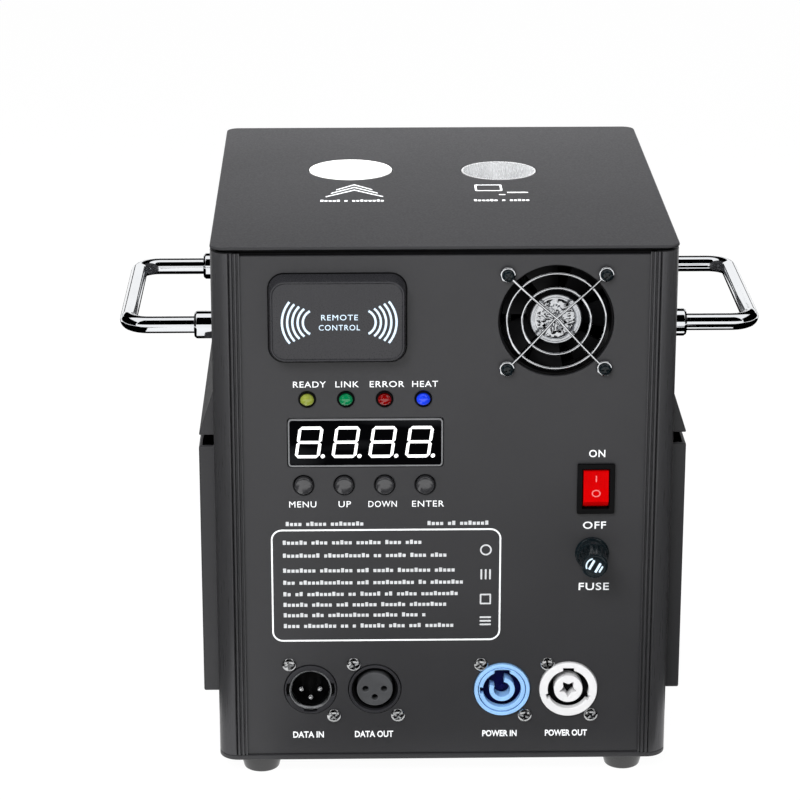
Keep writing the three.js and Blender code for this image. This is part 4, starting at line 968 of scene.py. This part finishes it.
ROCKER = (11.6, 17.8)
ROCKER_RISE = 4.4
PIVOT_DEPTH = 3.3
CHAMFER = 2.8
TILT = Matrix.Rotation(radians(-8), 4, "X")
half, rise = ROCKER[1] / 2, ROCKER_RISE
section = softened([
    (0, rise - 0.6), (half - 0.8, rise - 0.2), (half, rise - 1.7), (half, 0), (5, -2.5), (-5, -2.5),
    (-half, 0), (-half, rise - 4.2), (-half + CHAMFER, rise - 0.1),
], 0.4)
pivot = (switch.x, bezel_front + PIVOT_DEPTH, switch.z)
shape = put(flat([section], ROCKER[0], 0.35, 3), *pivot, TILT @ FRONT @ ACROSS)
piece(
    "rocker", shape, "red_plastic", body="switch_rocker", replaces=["switch_rocker"], sharp=50,
)
bar_mark = [round_box(0, 0, 0.55, 3.0, 0.15, 2)]
ring_mark = [[(x * 1.25, y) for x, y in circle(0, 0, radius, 32)] for radius in (1.65, 1.2)]
for name, loops, up, out, angle in (
    ("on", bar_mark, 4.6, rise - 0.38, 2.7), ("off", ring_mark, -2.2, rise - 0.4, -5.0),
):
    lie = Matrix.Translation((0, up, out)) @ Matrix.Rotation(radians(angle), 4, "X")
    shape = put(flat(loops, 0.14), *pivot, TILT @ FRONT @ lie)
    piece(f"rocker_mark_{name}", shape, "mark_pink", body="switch_rocker")
label("on", "ON", 69.7, 159.6, 7.4, 3.5, 0.05)
label("off", "OFF", 69.2, 124.7, 10.6, 3.5, 0.05)

# Fuse holder, and its cap with sixteen grips, a slot and pale marks that show how it turns
GRIPS = 16
GRIP_RADIUS = 0.55
GRIP_PLACE = 6.45
SLOT = (6.8, 1.1)
SLOT_ANGLE = 62
MARK_ANGLE = -28
holder_low, holder_high = box_mm("fuse_holder")
reach = holder_high.y - holder_low.y
flange = (holder_high.x - holder_low.x) / 2
shape = lathed([
    (0, 0), (6.2, 0), (6.2, reach - 2), (flange, reach - 2), (flange, reach - 0.9),
    (flange - 0.9, reach), (4.4, reach), (4.4, reach - 10), (3.1, reach - 10), (3.1, 1.5), (0, 1.5),
], 0.5, 4, 56)
put(shape, fuse.x, holder_high.y, fuse.z)
piece("fuse_body", shape, "dark_gloss", replaces=["fuse_holder"])
cap_low, cap_high = box_mm("fuse_cap")
reach = cap_high.y - cap_low.y
base = cap_high.y - (holder_low.y - 0.3)
knob = lathed([
    (0, 6), (2.8, 6), (2.8, 0), (4.1, 0), (4.1, base), (7.3, base), (7.3, base + 2.6),
    (6.7, base + 3.4), (6.0, reach - 0.6), (5.2, reach), (4.5, reach), (4.2, reach - 0.5),
    (0, reach - 0.5),
], 0.5, 4, 56)
put(knob, fuse.x, cap_high.y, fuse.z)
grips = []
for i in range(GRIPS):
    x, z = polar(GRIP_PLACE, 360 * i / GRIPS)
    grip = turned([
        (0, base + 4.6), (GRIP_RADIUS, base + 4.6), (GRIP_RADIUS, reach + 1), (0, reach + 1),
    ], 10)
    grips.append(put(grip, fuse.x + x, cap_high.y, fuse.z + z))
x, z = SLOT[0] / 2, SLOT[1] / 2
slot = block((-x, cap_low.y - 1, -z), (x, cap_low.y + 1.6, z))
put(slot, fuse.x, 0, fuse.z, Matrix.Rotation(radians(SLOT_ANGLE), 4, "Y"))
knob = carved(knob, gathered(*grips), slot)
piece("fuse_knob", knob, "dark_gloss", body="fuse_cap", replaces=["fuse_cap"])
marks = flat([
    round_box(1.6, 0, 1.1, 5.0, 0.3, 3), round_box(3.2, 0, 0.8, 3.4, 0.3, 3),
    round_box(-1.6, 0, 1.1, 5.0, 0.3, 3),
    arc(-0.4, 0, 3.9, 130, 230) + arc(-0.4, 0, 3.2, 230, 130),
], LEGEND)
put(marks, fuse.x, cap_low.y + 0.5 - LEGEND / 2, fuse.z, FRONT @ about_z(MARK_ANGLE))
piece("fuse_knob_marks", marks, "wave_ink", body="fuse_cap", slot="black_plastic")
label("fuse", "FUSE", 69.5, 94.4, 14, 3.6, 0.05)

# Connectors

CONNECTOR_SCREW = 3.4
CONNECTOR_SCREWS = (("upper", -9.9, 12.6, 0), ("lower", 10.8, -13.4, 31))
SIGNAL_RIM = 12.1
SIGNAL_RIM_DEPTH = 3.2
SIGNAL_FLOOR = 13
PIN_PLACES = ((-4.35, 0.2), (4.35, 0.2), (0, -4.0))
PIN_RADIUS = 1.4


def cross_head(corners, reach, arm, half_arm, low, high):
    """A screw's turned head with two crossed slots, which go from one height to another."""
    return carved(
        lathed(corners, reach, 4, 32), block((-arm, -half_arm, low), (arm, half_arm, high)),
        block((-half_arm, -arm, low), (half_arm, arm, high)),
    )


def connector_screws(name, place, angle):
    """The two screws of a connector, with their heads on the panel's face."""
    radius = CONNECTOR_SCREW
    height = radius * 0.5
    for end_name, dx, dz, turn in CONNECTOR_SCREWS:
        head = cross_head([
            (0, -3), (radius * 0.45, -3), (radius * 0.45, 0), (radius, 0), (radius, height * 0.35),
            (radius * 0.6, height * 0.92), (0, height),
        ], radius * 0.2, radius * 0.66, radius * 0.15, height * 0.25, height * 2)
        put(head, place.x + dx, FACE_Y, place.z + dz, FRONT @ about_z(angle + turn))
        piece(f"screw_{name}_{end_name}", head, "screw_steel")


def connector_back(name, node, plate, bore, barrel, looks, slots):
    """The plate behind the panel with its bore, and the round barrel with its floor."""
    (low, high), place = box_mm(node), centre_mm(node)
    width, height, depth = plate
    outer, inner, gap, floor = barrel
    flange = block(
        (place.x - width / 2, BACK_Y, place.z - height / 2),
        (place.x + width / 2, BACK_Y + depth, place.z + height / 2), 0.4,
    )
    opening = turned([(0, -2), (bore, -2), (bore, 5), (0, 5)])
    put(opening, place.x, BACK_Y + depth, place.z)
    piece(f"{name}_flange", carved(flange, opening), looks[0], slot=slots[0])
    rim, bottom = high.y - BACK_Y - gap, high.y - low.y - floor
    shell = lathed([
        (0, 0), (outer, 0), (outer, rim), (inner, rim), (inner, bottom), (0, bottom),
    ], 0.3, 3)
    piece(f"{name}_back", put(shell, place.x, high.y, place.z), looks[1], slot=slots[1])


def signal_shell(name, node, loops, slot):
    """A signal connector's rim before the panel, and what lies behind it."""
    place, face = centre_mm(node), box_mm(node)[0].y
    rim = flat(loops, SIGNAL_RIM_DEPTH, 0.35, 3)
    put(rim, place.x, face + SIGNAL_RIM_DEPTH / 2, place.z)
    piece(f"{name}_rim", rim, "shell_plastic", slot=slot, replaces=[node])
    looks = ("black_plastic", "black_plastic")
    connector_back(name, node, (26, 31, 2), 9.8, (12, 9.6, 2, SIGNAL_FLOOR), looks, (slot, slot))
    return place, face


# Signal input: a cup with three pins, a metal ring and four latch notches
cup = []
for start in (-70, 20, 110, 200):
    cup += arc(0, 0, 10.0, start, start + 50, 14)
    cup += [polar(11.4, start + angle) for angle in (55, 70, 85)]
place, face = signal_shell(
    "signal_socket", "signal_input", [circle(0, 0, SIGNAL_RIM, 72), cup], "black_plastic",
)
ring = lathed([(8.7, -4), (8.7, -0.9), (9.5, 0.25), (9.95, 0.1), (9.95, -4)], 0.35, 4, 72)
piece("signal_socket_ring", put(ring, place.x, face + 0.2, place.z), "steel")
for i, (dx, dz) in enumerate(PIN_PLACES):
    pin = lathed([(0, -1), (PIN_RADIUS, -1), (PIN_RADIUS, 11.2), (0, 12)], 0.8, 4, 24)
    put(pin, place.x + dx, face + SIGNAL_FLOOR, place.z + dz - 0.6)
    piece(f"pin_{i + 1}", pin, "bright_steel")
connector_screws("signal_in", place, 12)
label("data_in", "DATA IN", -63.1, 20.5, 14.4, 3.1, 0.1, 1.0)

# Signal output: a grey insert with three holes in a dark groove
place, face = signal_shell(
    "signal_plug", "signal_output", [circle(0, 0, SIGNAL_RIM, 72), circle(0, 0, 10.8, 72)],
    "grey_plastic",
)
insert = flat([
    circle(0, 0, 8.4, 72), *[circle(*pin_place, PIN_RADIUS, 24) for pin_place in PIN_PLACES],
], 12.6, 0.5, 3)
piece("signal_plug_insert", put(insert, place.x, face + 6.5, place.z), "grey_plastic")
connector_screws("signal_out", place, 25)
label("data_out", "DATA OUT", -32.3, 20.5, 18, 3.1, 0.1, 1.0)


def power_socket(name, node, rings, core, body_look, well_look, angle, x, width):
    """A keyed channel round a slotted core, with a label about x."""
    place, face = centre_mm(node), box_mm(node)[0].y
    shapes = [
        put(flat(loops, 4.0, 0.45, 3), place.x, face + 2 + 0.35 * i, place.z)
        for i, loops in enumerate(rings)
    ]
    piece(f"{name}_ring", gathered(*shapes), body_look, replaces=[node])
    piece(f"{name}_core", put(flat(core, 11.2, 0.4, 3), place.x, face + 6.2, place.z), body_look)
    barrel = (12.5, 11.5, 2.6, 7)
    connector_back(
        name, node, (29, 33, 2.5), 11.6, barrel, (body_look, well_look), (None, None),
    )
    contact = lathed([(0, 0), (1.2, 0), (1.2, 4), (0, 4)], 0.4, 3, 24)
    piece(f"{name}_contact", put(contact, place.x, face + 8, place.z), well_look)
    connector_screws(name, place, angle)
    label(name, name.replace("_", " ").upper(), x, 20.4, width, 3.0, 0.12, 1.0)


def keyed(radius, *notches):
    """A round channel's outer wall, with notches of (middle angle, half width, reach)."""
    outline = []
    for i, (middle, half, reach) in enumerate(notches):
        after, after_half, _ = notches[(i + 1) % len(notches)]
        corner = degrees(atan2(half, reach))
        outline += [polar(reach, middle - corner), polar(reach, middle + corner)]
        edge, next_edge = degrees(asin(half / radius)), degrees(asin(after_half / radius))
        end = after + (360 if after <= middle else 0)
        outline += arc(0, 0, radius, middle + edge, end - next_edge, 28)
    return outline


# The input's back and contact are in the darker copy of its blue plastic: painted shade in the deep
# channel
power_socket("power_in", "power_input", [
    [circle(0, 0, 13, 72), circle(0, 0, 11.2, 72)],
    [circle(0, 0, 10.9, 72), keyed(8.9, (90, 3.6, 10.4), (183, 1.5, 10.4))],
], [arc(0, 0, 6.0, 156, 438, 44) + arc(0, 0, 3.8, 438, 156, 34)], "blue_plastic", "blue_plastic_painted_shade",
    40, 26.6, 16.2)
star = [polar(4.3 if i % 2 else 2.3, 36 * i + 18) for i in range(10)]
power_socket("power_out", "power_output", [
    [circle(0, 0, 13.5, 72), keyed(9.6, (90, 2.6, 11), (200, 1.2, 10.8), (335, 1.2, 10.8))],
], [circle(0, 0, 6.7), softened(star, 0.6, 3)], "white_plastic", "black_plastic", 8, 57.9, 19.8)

# Fan
FAN_SIZE = 52
FAN_BORE = 25
FAN_BOLT = 1.8
STRUTS = 3
STRUT_DEPTH = 2.4
bolts = [(x, z) for x in (-22, 22) for z in (-22, 22)]
fan_low, fan_high = box_mm("fan_frame")
shape = flat([
    round_box(0, 0, FAN_SIZE, FAN_SIZE, 4), circle(0, 0, FAN_BORE, 96),
    *[circle(x, z, FAN_BOLT, 24) for x, z in bolts],
], fan_high.y - fan_low.y, 0.4)
piece("fan_shell", put(shape, fan.x, fan.y, fan.z), "black_plastic", replaces=["fan_frame"])
struts = [flat([circle(0, 0, 12, 48), circle(0, 0, FAN_BOLT, 20)], STRUT_DEPTH, 0.3)]
for i in range(STRUTS):
    arm = block((11, -1.75, -STRUT_DEPTH / 2), (25.4, 1.75, STRUT_DEPTH / 2), 0.3)
    struts.append(put(arm, 0, 0, 0, about_z(360 * (i + 0.25) / STRUTS)))
shape = put(gathered(*struts), fan.x, fan_high.y - 1.25, fan.z)
piece("fan_struts", shape, "black_plastic")

HUB = 12.6
HUB_GAP = 2.8
ROOT = HUB - 0.9
BLADES = 7
BLADE_REACH = 24.1 - ROOT
BLADE_SPANS = 5
CHORD = 5.6
CHORD_STEPS = 8
rotor_low = box_mm("fan_rotor")[0]
hub_depth = fan_high.y - HUB_GAP - rotor_low.y
blades = [lathed([
    (0, -2.4), (1.5, -2.4), (1.5, 0), (HUB, 0), (HUB, hub_depth - 1.2), (ROOT, hub_depth),
    (0, hub_depth),
], 0.8, 4)]
for i in range(BLADES):
    blade = bmesh.new()
    across = [CHORD * (2 * k / CHORD_STEPS - 1) for k in range(CHORD_STEPS + 1)]
    root = [blade.verts.new((ROOT, y, 0)) for y in across]
    edges = [blade.edges.new(pair) for pair in zip(root, root[1:])]
    for _ in range(BLADE_SPANS):
        out = bmesh.ops.extrude_edge_only(blade, edges=edges)["geom"]
        verts = [item for item in out if isinstance(item, bmesh.types.BMVert)]
        edges = [item for item in out if isinstance(item, bmesh.types.BMEdge)]
        bmesh.ops.translate(blade, vec=(BLADE_REACH / BLADE_SPANS, 0, 0), verts=verts)
    # The flat blade is widened, twisted and cambered towards its tip
    for vert in blade.verts:
        share = (vert.co.x - ROOT) / BLADE_REACH
        angle = radians(42 - 12 * share)
        chord = vert.co.y * (1 + 0.62 * share) + 1.5 * share
        lift = 0.045 * (CHORD ** 2 - min(abs(vert.co.y), CHORD) ** 2)
        radius = vert.co.x
        swing = chord * cos(angle) / radius
        rise = chord * sin(angle) * 0.62 + lift * 0.4
        vert.co = (radius * cos(swing), radius * sin(swing), rise)
    bmesh.ops.recalc_face_normals(blade, faces=blade.faces)
    bmesh.ops.solidify(blade, geom=blade.faces[:], thickness=1.0)
    bmesh.ops.recalc_face_normals(blade, faces=blade.faces)
    blades.append(put(blade, 0, 0, hub_depth / 2 - 0.4, about_z(360 * i / BLADES)))
shape = put(gathered(*blades), fan.x, fan_high.y - HUB_GAP, fan.z)
piece("rotor", shape, "black_plastic", body="fan_rotor", replaces=["fan_rotor"])

# The bright foil on the hub is creased, with two beads pressed round its rim
CREASED = 9.2
profile = [(0, -0.2), (11.4, -0.2), (11.4, 0.1)]
for crest in (10.95, 9.85):
    profile += [
        (crest + 0.4, 0.05), (crest + 0.2, 0.4), (crest - 0.2, 0.4), (crest - 0.4, 0.05),
    ]
profile += [(9.1 - 0.7 * k, 0.1) for k in range(13)] + [(0, 0.1)]
foil = turned(profile, 84)
for vert in foil.verts:
    if vert.co.xy.length < CREASED and vert.co.z > 0:
        fade = min(1, (CREASED - vert.co.xy.length) / 0.8)
        crease = abs(noise.noise(vert.co * 0.42)) + 0.5 * abs(noise.noise(vert.co * 0.95))
        vert.co.z += fade * (1.5 * crease + 0.05 * vert.co.x)
put(foil, fan.x, rotor_low.y - 0.02, fan.z)
piece("hub_label", foil, "hub_foil", body="fan_rotor", sharp=60)

# Guard: two rings and two bowed cross wires, with an eye round each screw
WIRE = 0.62
WIRE_REACH = 19.8
WIRE_BOW = 0.96
WIRE_STEPS = (0, 0.1, 0.25, 0.5, 0.82, 1)
guard_y = box_mm("fan_guard")[0].y
wire_y = guard_y + WIRE
steps = [-t for t in reversed(WIRE_STEPS[1:])] + list(WIRE_STEPS)
wires = []
for radius in (22.25, 15.5):
    path = [(x, wire_y + 1.2, z) for x, z in circle(fan.x, fan.z, radius, 72)]
    wires.append(rod(path, WIRE, closed=True))
for sign in (-1, 1):
    wires.append(rod([(
        fan.x + WIRE_REACH * t - sign * WIRE_BOW * (1 - abs(t)) ** 2, wire_y,
        fan.z + sign * WIRE_REACH * t + WIRE_BOW * (1 - abs(t)) ** 2,
    ) for t in steps], WIRE))
for x, z in bolts:
    path = [(a, wire_y, b) for a, b in circle(fan.x + x, fan.z + z, 3.0, 28)]
    wires.append(rod(path, WIRE, closed=True))
piece("guard", gathered(*wires), "chrome", replaces=["fan_guard"])
for i, (x, z) in enumerate(bolts):
    head = cross_head([
        (0, -8), (1.5, -8), (1.5, 0), (2.8, 0), (2.8, 0.9), (1.9, 1.9), (0, 2.1),
    ], 0.5, 1.8, 0.4, 0.9, 3)
    put(head, fan.x + x + 0.25, guard_y + 0.35, fan.z + z - 0.25, FRONT @ about_z(20 + 37 * i))
    piece(f"fan_screw_{i + 1}", head, "dark_gloss")

# Nozzle liner and hopper cup, each with a flange under the top plate
FLANGE = 1.5
low, high = box_mm("nozzle_liner")
shape = turned(softened([
    (18.7, low.z), (20.2, low.z), (20.2, TOP_UNDER - FLANGE), (25.2, TOP_UNDER - FLANGE),
    (25.2, TOP_UNDER), (20.2, TOP_UNDER), (20.2, high.z), (18.7, high.z),
], 0.25, 3), 96)
piece("liner", put(shape, nozzle.x, nozzle.y, 0, UPRIGHT), "ceramic", replaces=["nozzle_liner"])
low, high = box_mm("hopper")
cup_bottom = high.z - 53
cone_bottom = cup_bottom - 20
shape = turned(softened([
    (6, low.z), (7, low.z), (7, cone_bottom), (18.2, cup_bottom), (18.2, TOP_UNDER - FLANGE),
    (23.2, TOP_UNDER - FLANGE), (23.2, TOP_UNDER), (18.2, TOP_UNDER), (18.2, high.z),
    (17.2, high.z), (17.2, cup_bottom), (6, cone_bottom),
], 0.25, 3), 96)
piece("hopper_cup", put(shape, inlet.x, inlet.y, 0, UPRIGHT), "hopper_steel", replaces=["hopper"])

# Printed plate on the control panel, and the marks on the top
PLATE = (-26.5, 95.7, 105.8, 55.6)
PLATE_CORNER = 5
PLATE_LINE = 0.75
BLOCK = 1.42
BLOCK_GAP = 0.5
WORD_GAP = 1.7
ROWS_X = -74
ROWS = (
    (116.1, (6, 4, 5, 6, 4, 4)),
    (109.7, (9, 11, 2, 5, 4, 4)),
    (102.3, (8, 8, 3, 5, 8, 5)),
    (96.3, (3, 13, 3, 10, 2, 8)),
    (90.6, (2, 2, 9, 2, 5, 2, 5, 9)),
    (85.3, (6, 5, 3, 6, 6, 9)),
    (80.1, (6, 3, 10, 6, 4, 1)),
    (74.7, (4, 8, 2, 1, 6, 4, 3, 7)),
)
HEADER_Z = 125.3
SIGN_X = 19.4


def blocks(x, z, counts, height=2.0):
    """A row of plain small blocks, in groups, from x to the right."""
    loops = []
    for group, count in enumerate(counts):
        for i in range(count):
            top = z + height * (1 if (3 * i + group) % 4 == 0 else 0.74)
            loops.append([(x, z), (x + BLOCK, z), (x + BLOCK, top), (x, top)])
            x += BLOCK + BLOCK_GAP
        x += WORD_GAP
    return loops


plate_x, plate_z, plate_width, plate_height = PLATE
printed("plate_border", [
    round_box(
        plate_x, plate_z, plate_width - 2 * inset, plate_height - 2 * inset, PLATE_CORNER - inset,
    ) for inset in (0, PLATE_LINE)
], "legend_ink")
printed("plate_rows", [loop for z, counts in ROWS for loop in blocks(ROWS_X, z, counts)])
printed(
    "plate_header", blocks(-72.5, HEADER_Z, (4, 5, 8)) + blocks(-7.5, HEADER_Z, (4, 2, 7)),
)
printed("plate_signs", [
    circle(SIGN_X, 112.9, 2.7, 32), circle(SIGN_X, 112.9, 2.0, 32),
    *[round_box(SIGN_X + dx, 100.8, 0.8, 5, 0.2, 2) for dx in (-2, 0, 2)],
    round_box(SIGN_X, 88.5, 5.2, 5.2, 0.4, 2), round_box(SIGN_X, 88.5, 3.8, 3.8, 0.2, 2),
    *[round_box(SIGN_X, 77.6 + dz, 5.2, 0.8, 0.2, 2) for dz in (-1.8, 0, 1.8)],
])

CHEVRON_X = -40
CHEVRON_RISE = 12.5
chevrons = []
for i in range(3):
    y, reach, peak = -19.5 + 6.5 * i, 13.6 - 2.5 * i, CHEVRON_RISE - 1.5 * i
    chevrons.append([
        (CHEVRON_X - reach, y), (CHEVRON_X, y + peak), (CHEVRON_X + reach, y),
        (CHEVRON_X + reach, y + 1.6), (CHEVRON_X, y + peak + 1.8), (CHEVRON_X - reach, y + 1.6),
    ])
inlet_sign = [
    round_box(24, -3, 13, 12, 1, 3), round_box(24, -3, 11, 9.6, 0.6, 3),
    round_box(37.5, -12, 10, 1.8, 0.6, 3), round_box(30, -16, 3, 1.6, 0.5, 3),
]
for name, loops in (
    ("nozzle_mark", chevrons + blocks(-56, -27.6, (5, 1, 8), 3.4)),
    ("inlet_mark", inlet_sign + blocks(16.2, -27.9, (6, 1, 5), 3.4)),
):
    level(name, loops, case_high.z - LEGEND, case_high.z, "legend_ink")

# Finishes of the nodes that keep their own shape
KEPT = {
    "case_paint": ("side_panel_left", "side_panel_right"),
    "circuit_board": ("receiver_board", "display_board", "control_board"),
    "ceramic": ("heater_sleeve",),
    "insulation": ("insulation_jacket",),
    "steel": (
        "spark_chamber", "feed_barrel", "feed_screw", "feed_motor", "feed_bracket", "power_supply",
    ),
    "black_plastic": ("blower_housing",),
    "grey_plastic": ("blower_impeller",),
    "fuse_glass": ("fuse_cartridge",),
}
for look, names in KEPT.items():
    for name in names:
        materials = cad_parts[name].data.materials
        materials.clear()
        materials.append(LOOKS[look][0])

# Floor, world and lamps. What follows is in metres.

FLOOR_SIZE = 6
FLOOR_COLOUR = (0.92, 0.92, 0.92, 1)
FLOOR_LIGHT = 1.03
FLOOR_GLOW = 0.94
WORLD_DIM = 0.35
WHITE = (1, 1, 1, 1)
BLACK_COLOUR = (0, 0, 0, 1)


def brighter(tree, *values):
    """The highest of some values."""
    first, *others = values
    for value in others:
        first = add(tree, "Math", first, value, operation="MAXIMUM").outputs[0]
    return first


# The floor is bright to the camera and in glossy surfaces, and lit as any other surface elsewhere
pale = bpy.data.materials.new("pale_floor")
pale.use_nodes = True
tree = pale.node_tree
shader = tree.nodes["Principled BSDF"]
wire(tree, shader, {"Base Color": FLOOR_COLOUR, "Roughness": 0.9})
rays = add(tree, "LightPath").outputs
seen = brighter(tree, rays["Is Camera Ray"], rays["Is Glossy Ray"])
share = add(tree, "Math", seen, FLOOR_GLOW, operation="MULTIPLY").outputs[0]
light = add(tree, "Emission", Color=WHITE, Strength=FLOOR_LIGHT).outputs[0]
blend = add(tree, "MixShader", share, shader.outputs[0], light).outputs[0]
wire(tree, tree.nodes["Material Output"], {"Surface": blend})
shape = bmesh.new()
bmesh.ops.create_grid(shape, x_segments=1, y_segments=1, size=FLOOR_SIZE)
floor = placed("floor", shape)
floor.data.materials.append(pale)

# Dark studio cards, which only glossy surfaces show: they draw the dark bands in the chrome
card_black = bpy.data.materials.new("card_black")
card_black.use_nodes = True
tree = card_black.node_tree
wire(tree, tree.nodes["Principled BSDF"], {"Base Color": BLACK_COLOUR, "Specular IOR Level": 0})
for name, low, high in (
    ("front", (-2.2, -1.91, 0.76), (2.2, -1.9, 9.0)),
    ("rear_high", (-1.2, 0.62, 0.43), (1.2, 0.63, 1.4)),
    ("rear_strip", (-2.2, 2.4, 0.34), (2.2, 2.41, 0.52)),
    ("floor_rear", (-0.5, -0.05, 0.005), (0.5, 0.9, 0.006)),
    ("floor_front", (-0.08, -0.42, 0.001), (0.2, -0.125, 0.002)),
    ("floor_left", (-1.1, -0.7, 0.001), (-0.17, 0.5, 0.002)),
    ("floor_right", (0.17, -0.7, 0.003), (1.1, 0.5, 0.004)),
    ("left", (-1.61, -1.2, 0.0), (-1.6, 1.6, 1.6)),
    ("right", (1.6, -1.2, 0.0), (1.61, 1.6, 1.6)),
):
    card = placed(f"card_{name}", block(low, high))
    card.data.materials.append(card_black)
    for kind in ("camera", "diffuse", "transmission", "volume_scatter", "shadow"):
        setattr(card, f"visible_{kind}", False)

world = bpy.data.worlds.new("studio")
scene.world = world
world.use_nodes = True
tree = world.node_tree
rays = add(tree, "LightPath").outputs
seen = brighter(
    tree, rays["Is Camera Ray"], rays["Is Glossy Ray"], rays["Is Transmission Ray"],
)
strength = add(tree, "MapRange", Value=seen, To_Min=WORLD_DIM, To_Max=1.0).outputs["Result"]
wire(tree, tree.nodes["Background"], {"Color": WHITE, "Strength": strength})

for name, place, aim, size, power in (
    ("front_soft", (-0.35, -0.95, 0.95), (0, -0.1, 0.15), (0.7, 0.5), 15),
    ("top_soft", (0.05, 0.4, 0.7), (0, 0.05, 0.25), (0.6, 0.3), 7),
    ("left_soft", (-1.3, 0.35, 0.7), (0, 0, 0.12), (0.6, 0.6), 5),
    ("right_soft", (1.3, 0.1, 0.7), (0, 0, 0.12), (0.6, 0.6), 5),
):
    data = bpy.data.lights.new(name, "AREA")
    data.shape = "RECTANGLE"
    data.size, data.size_y = size
    data.energy = power
    lamp = bpy.data.objects.new(name, data)
    scene.collection.objects.link(lamp)
    lamp.location = Vector(place)
    lamp.rotation_euler = (Vector(aim) - Vector(place)).to_track_quat("-Z", "Y").to_euler()
    lamp.visible_camera = False
    lamp.visible_glossy = False

scene.view_settings.view_transform = "Standard"
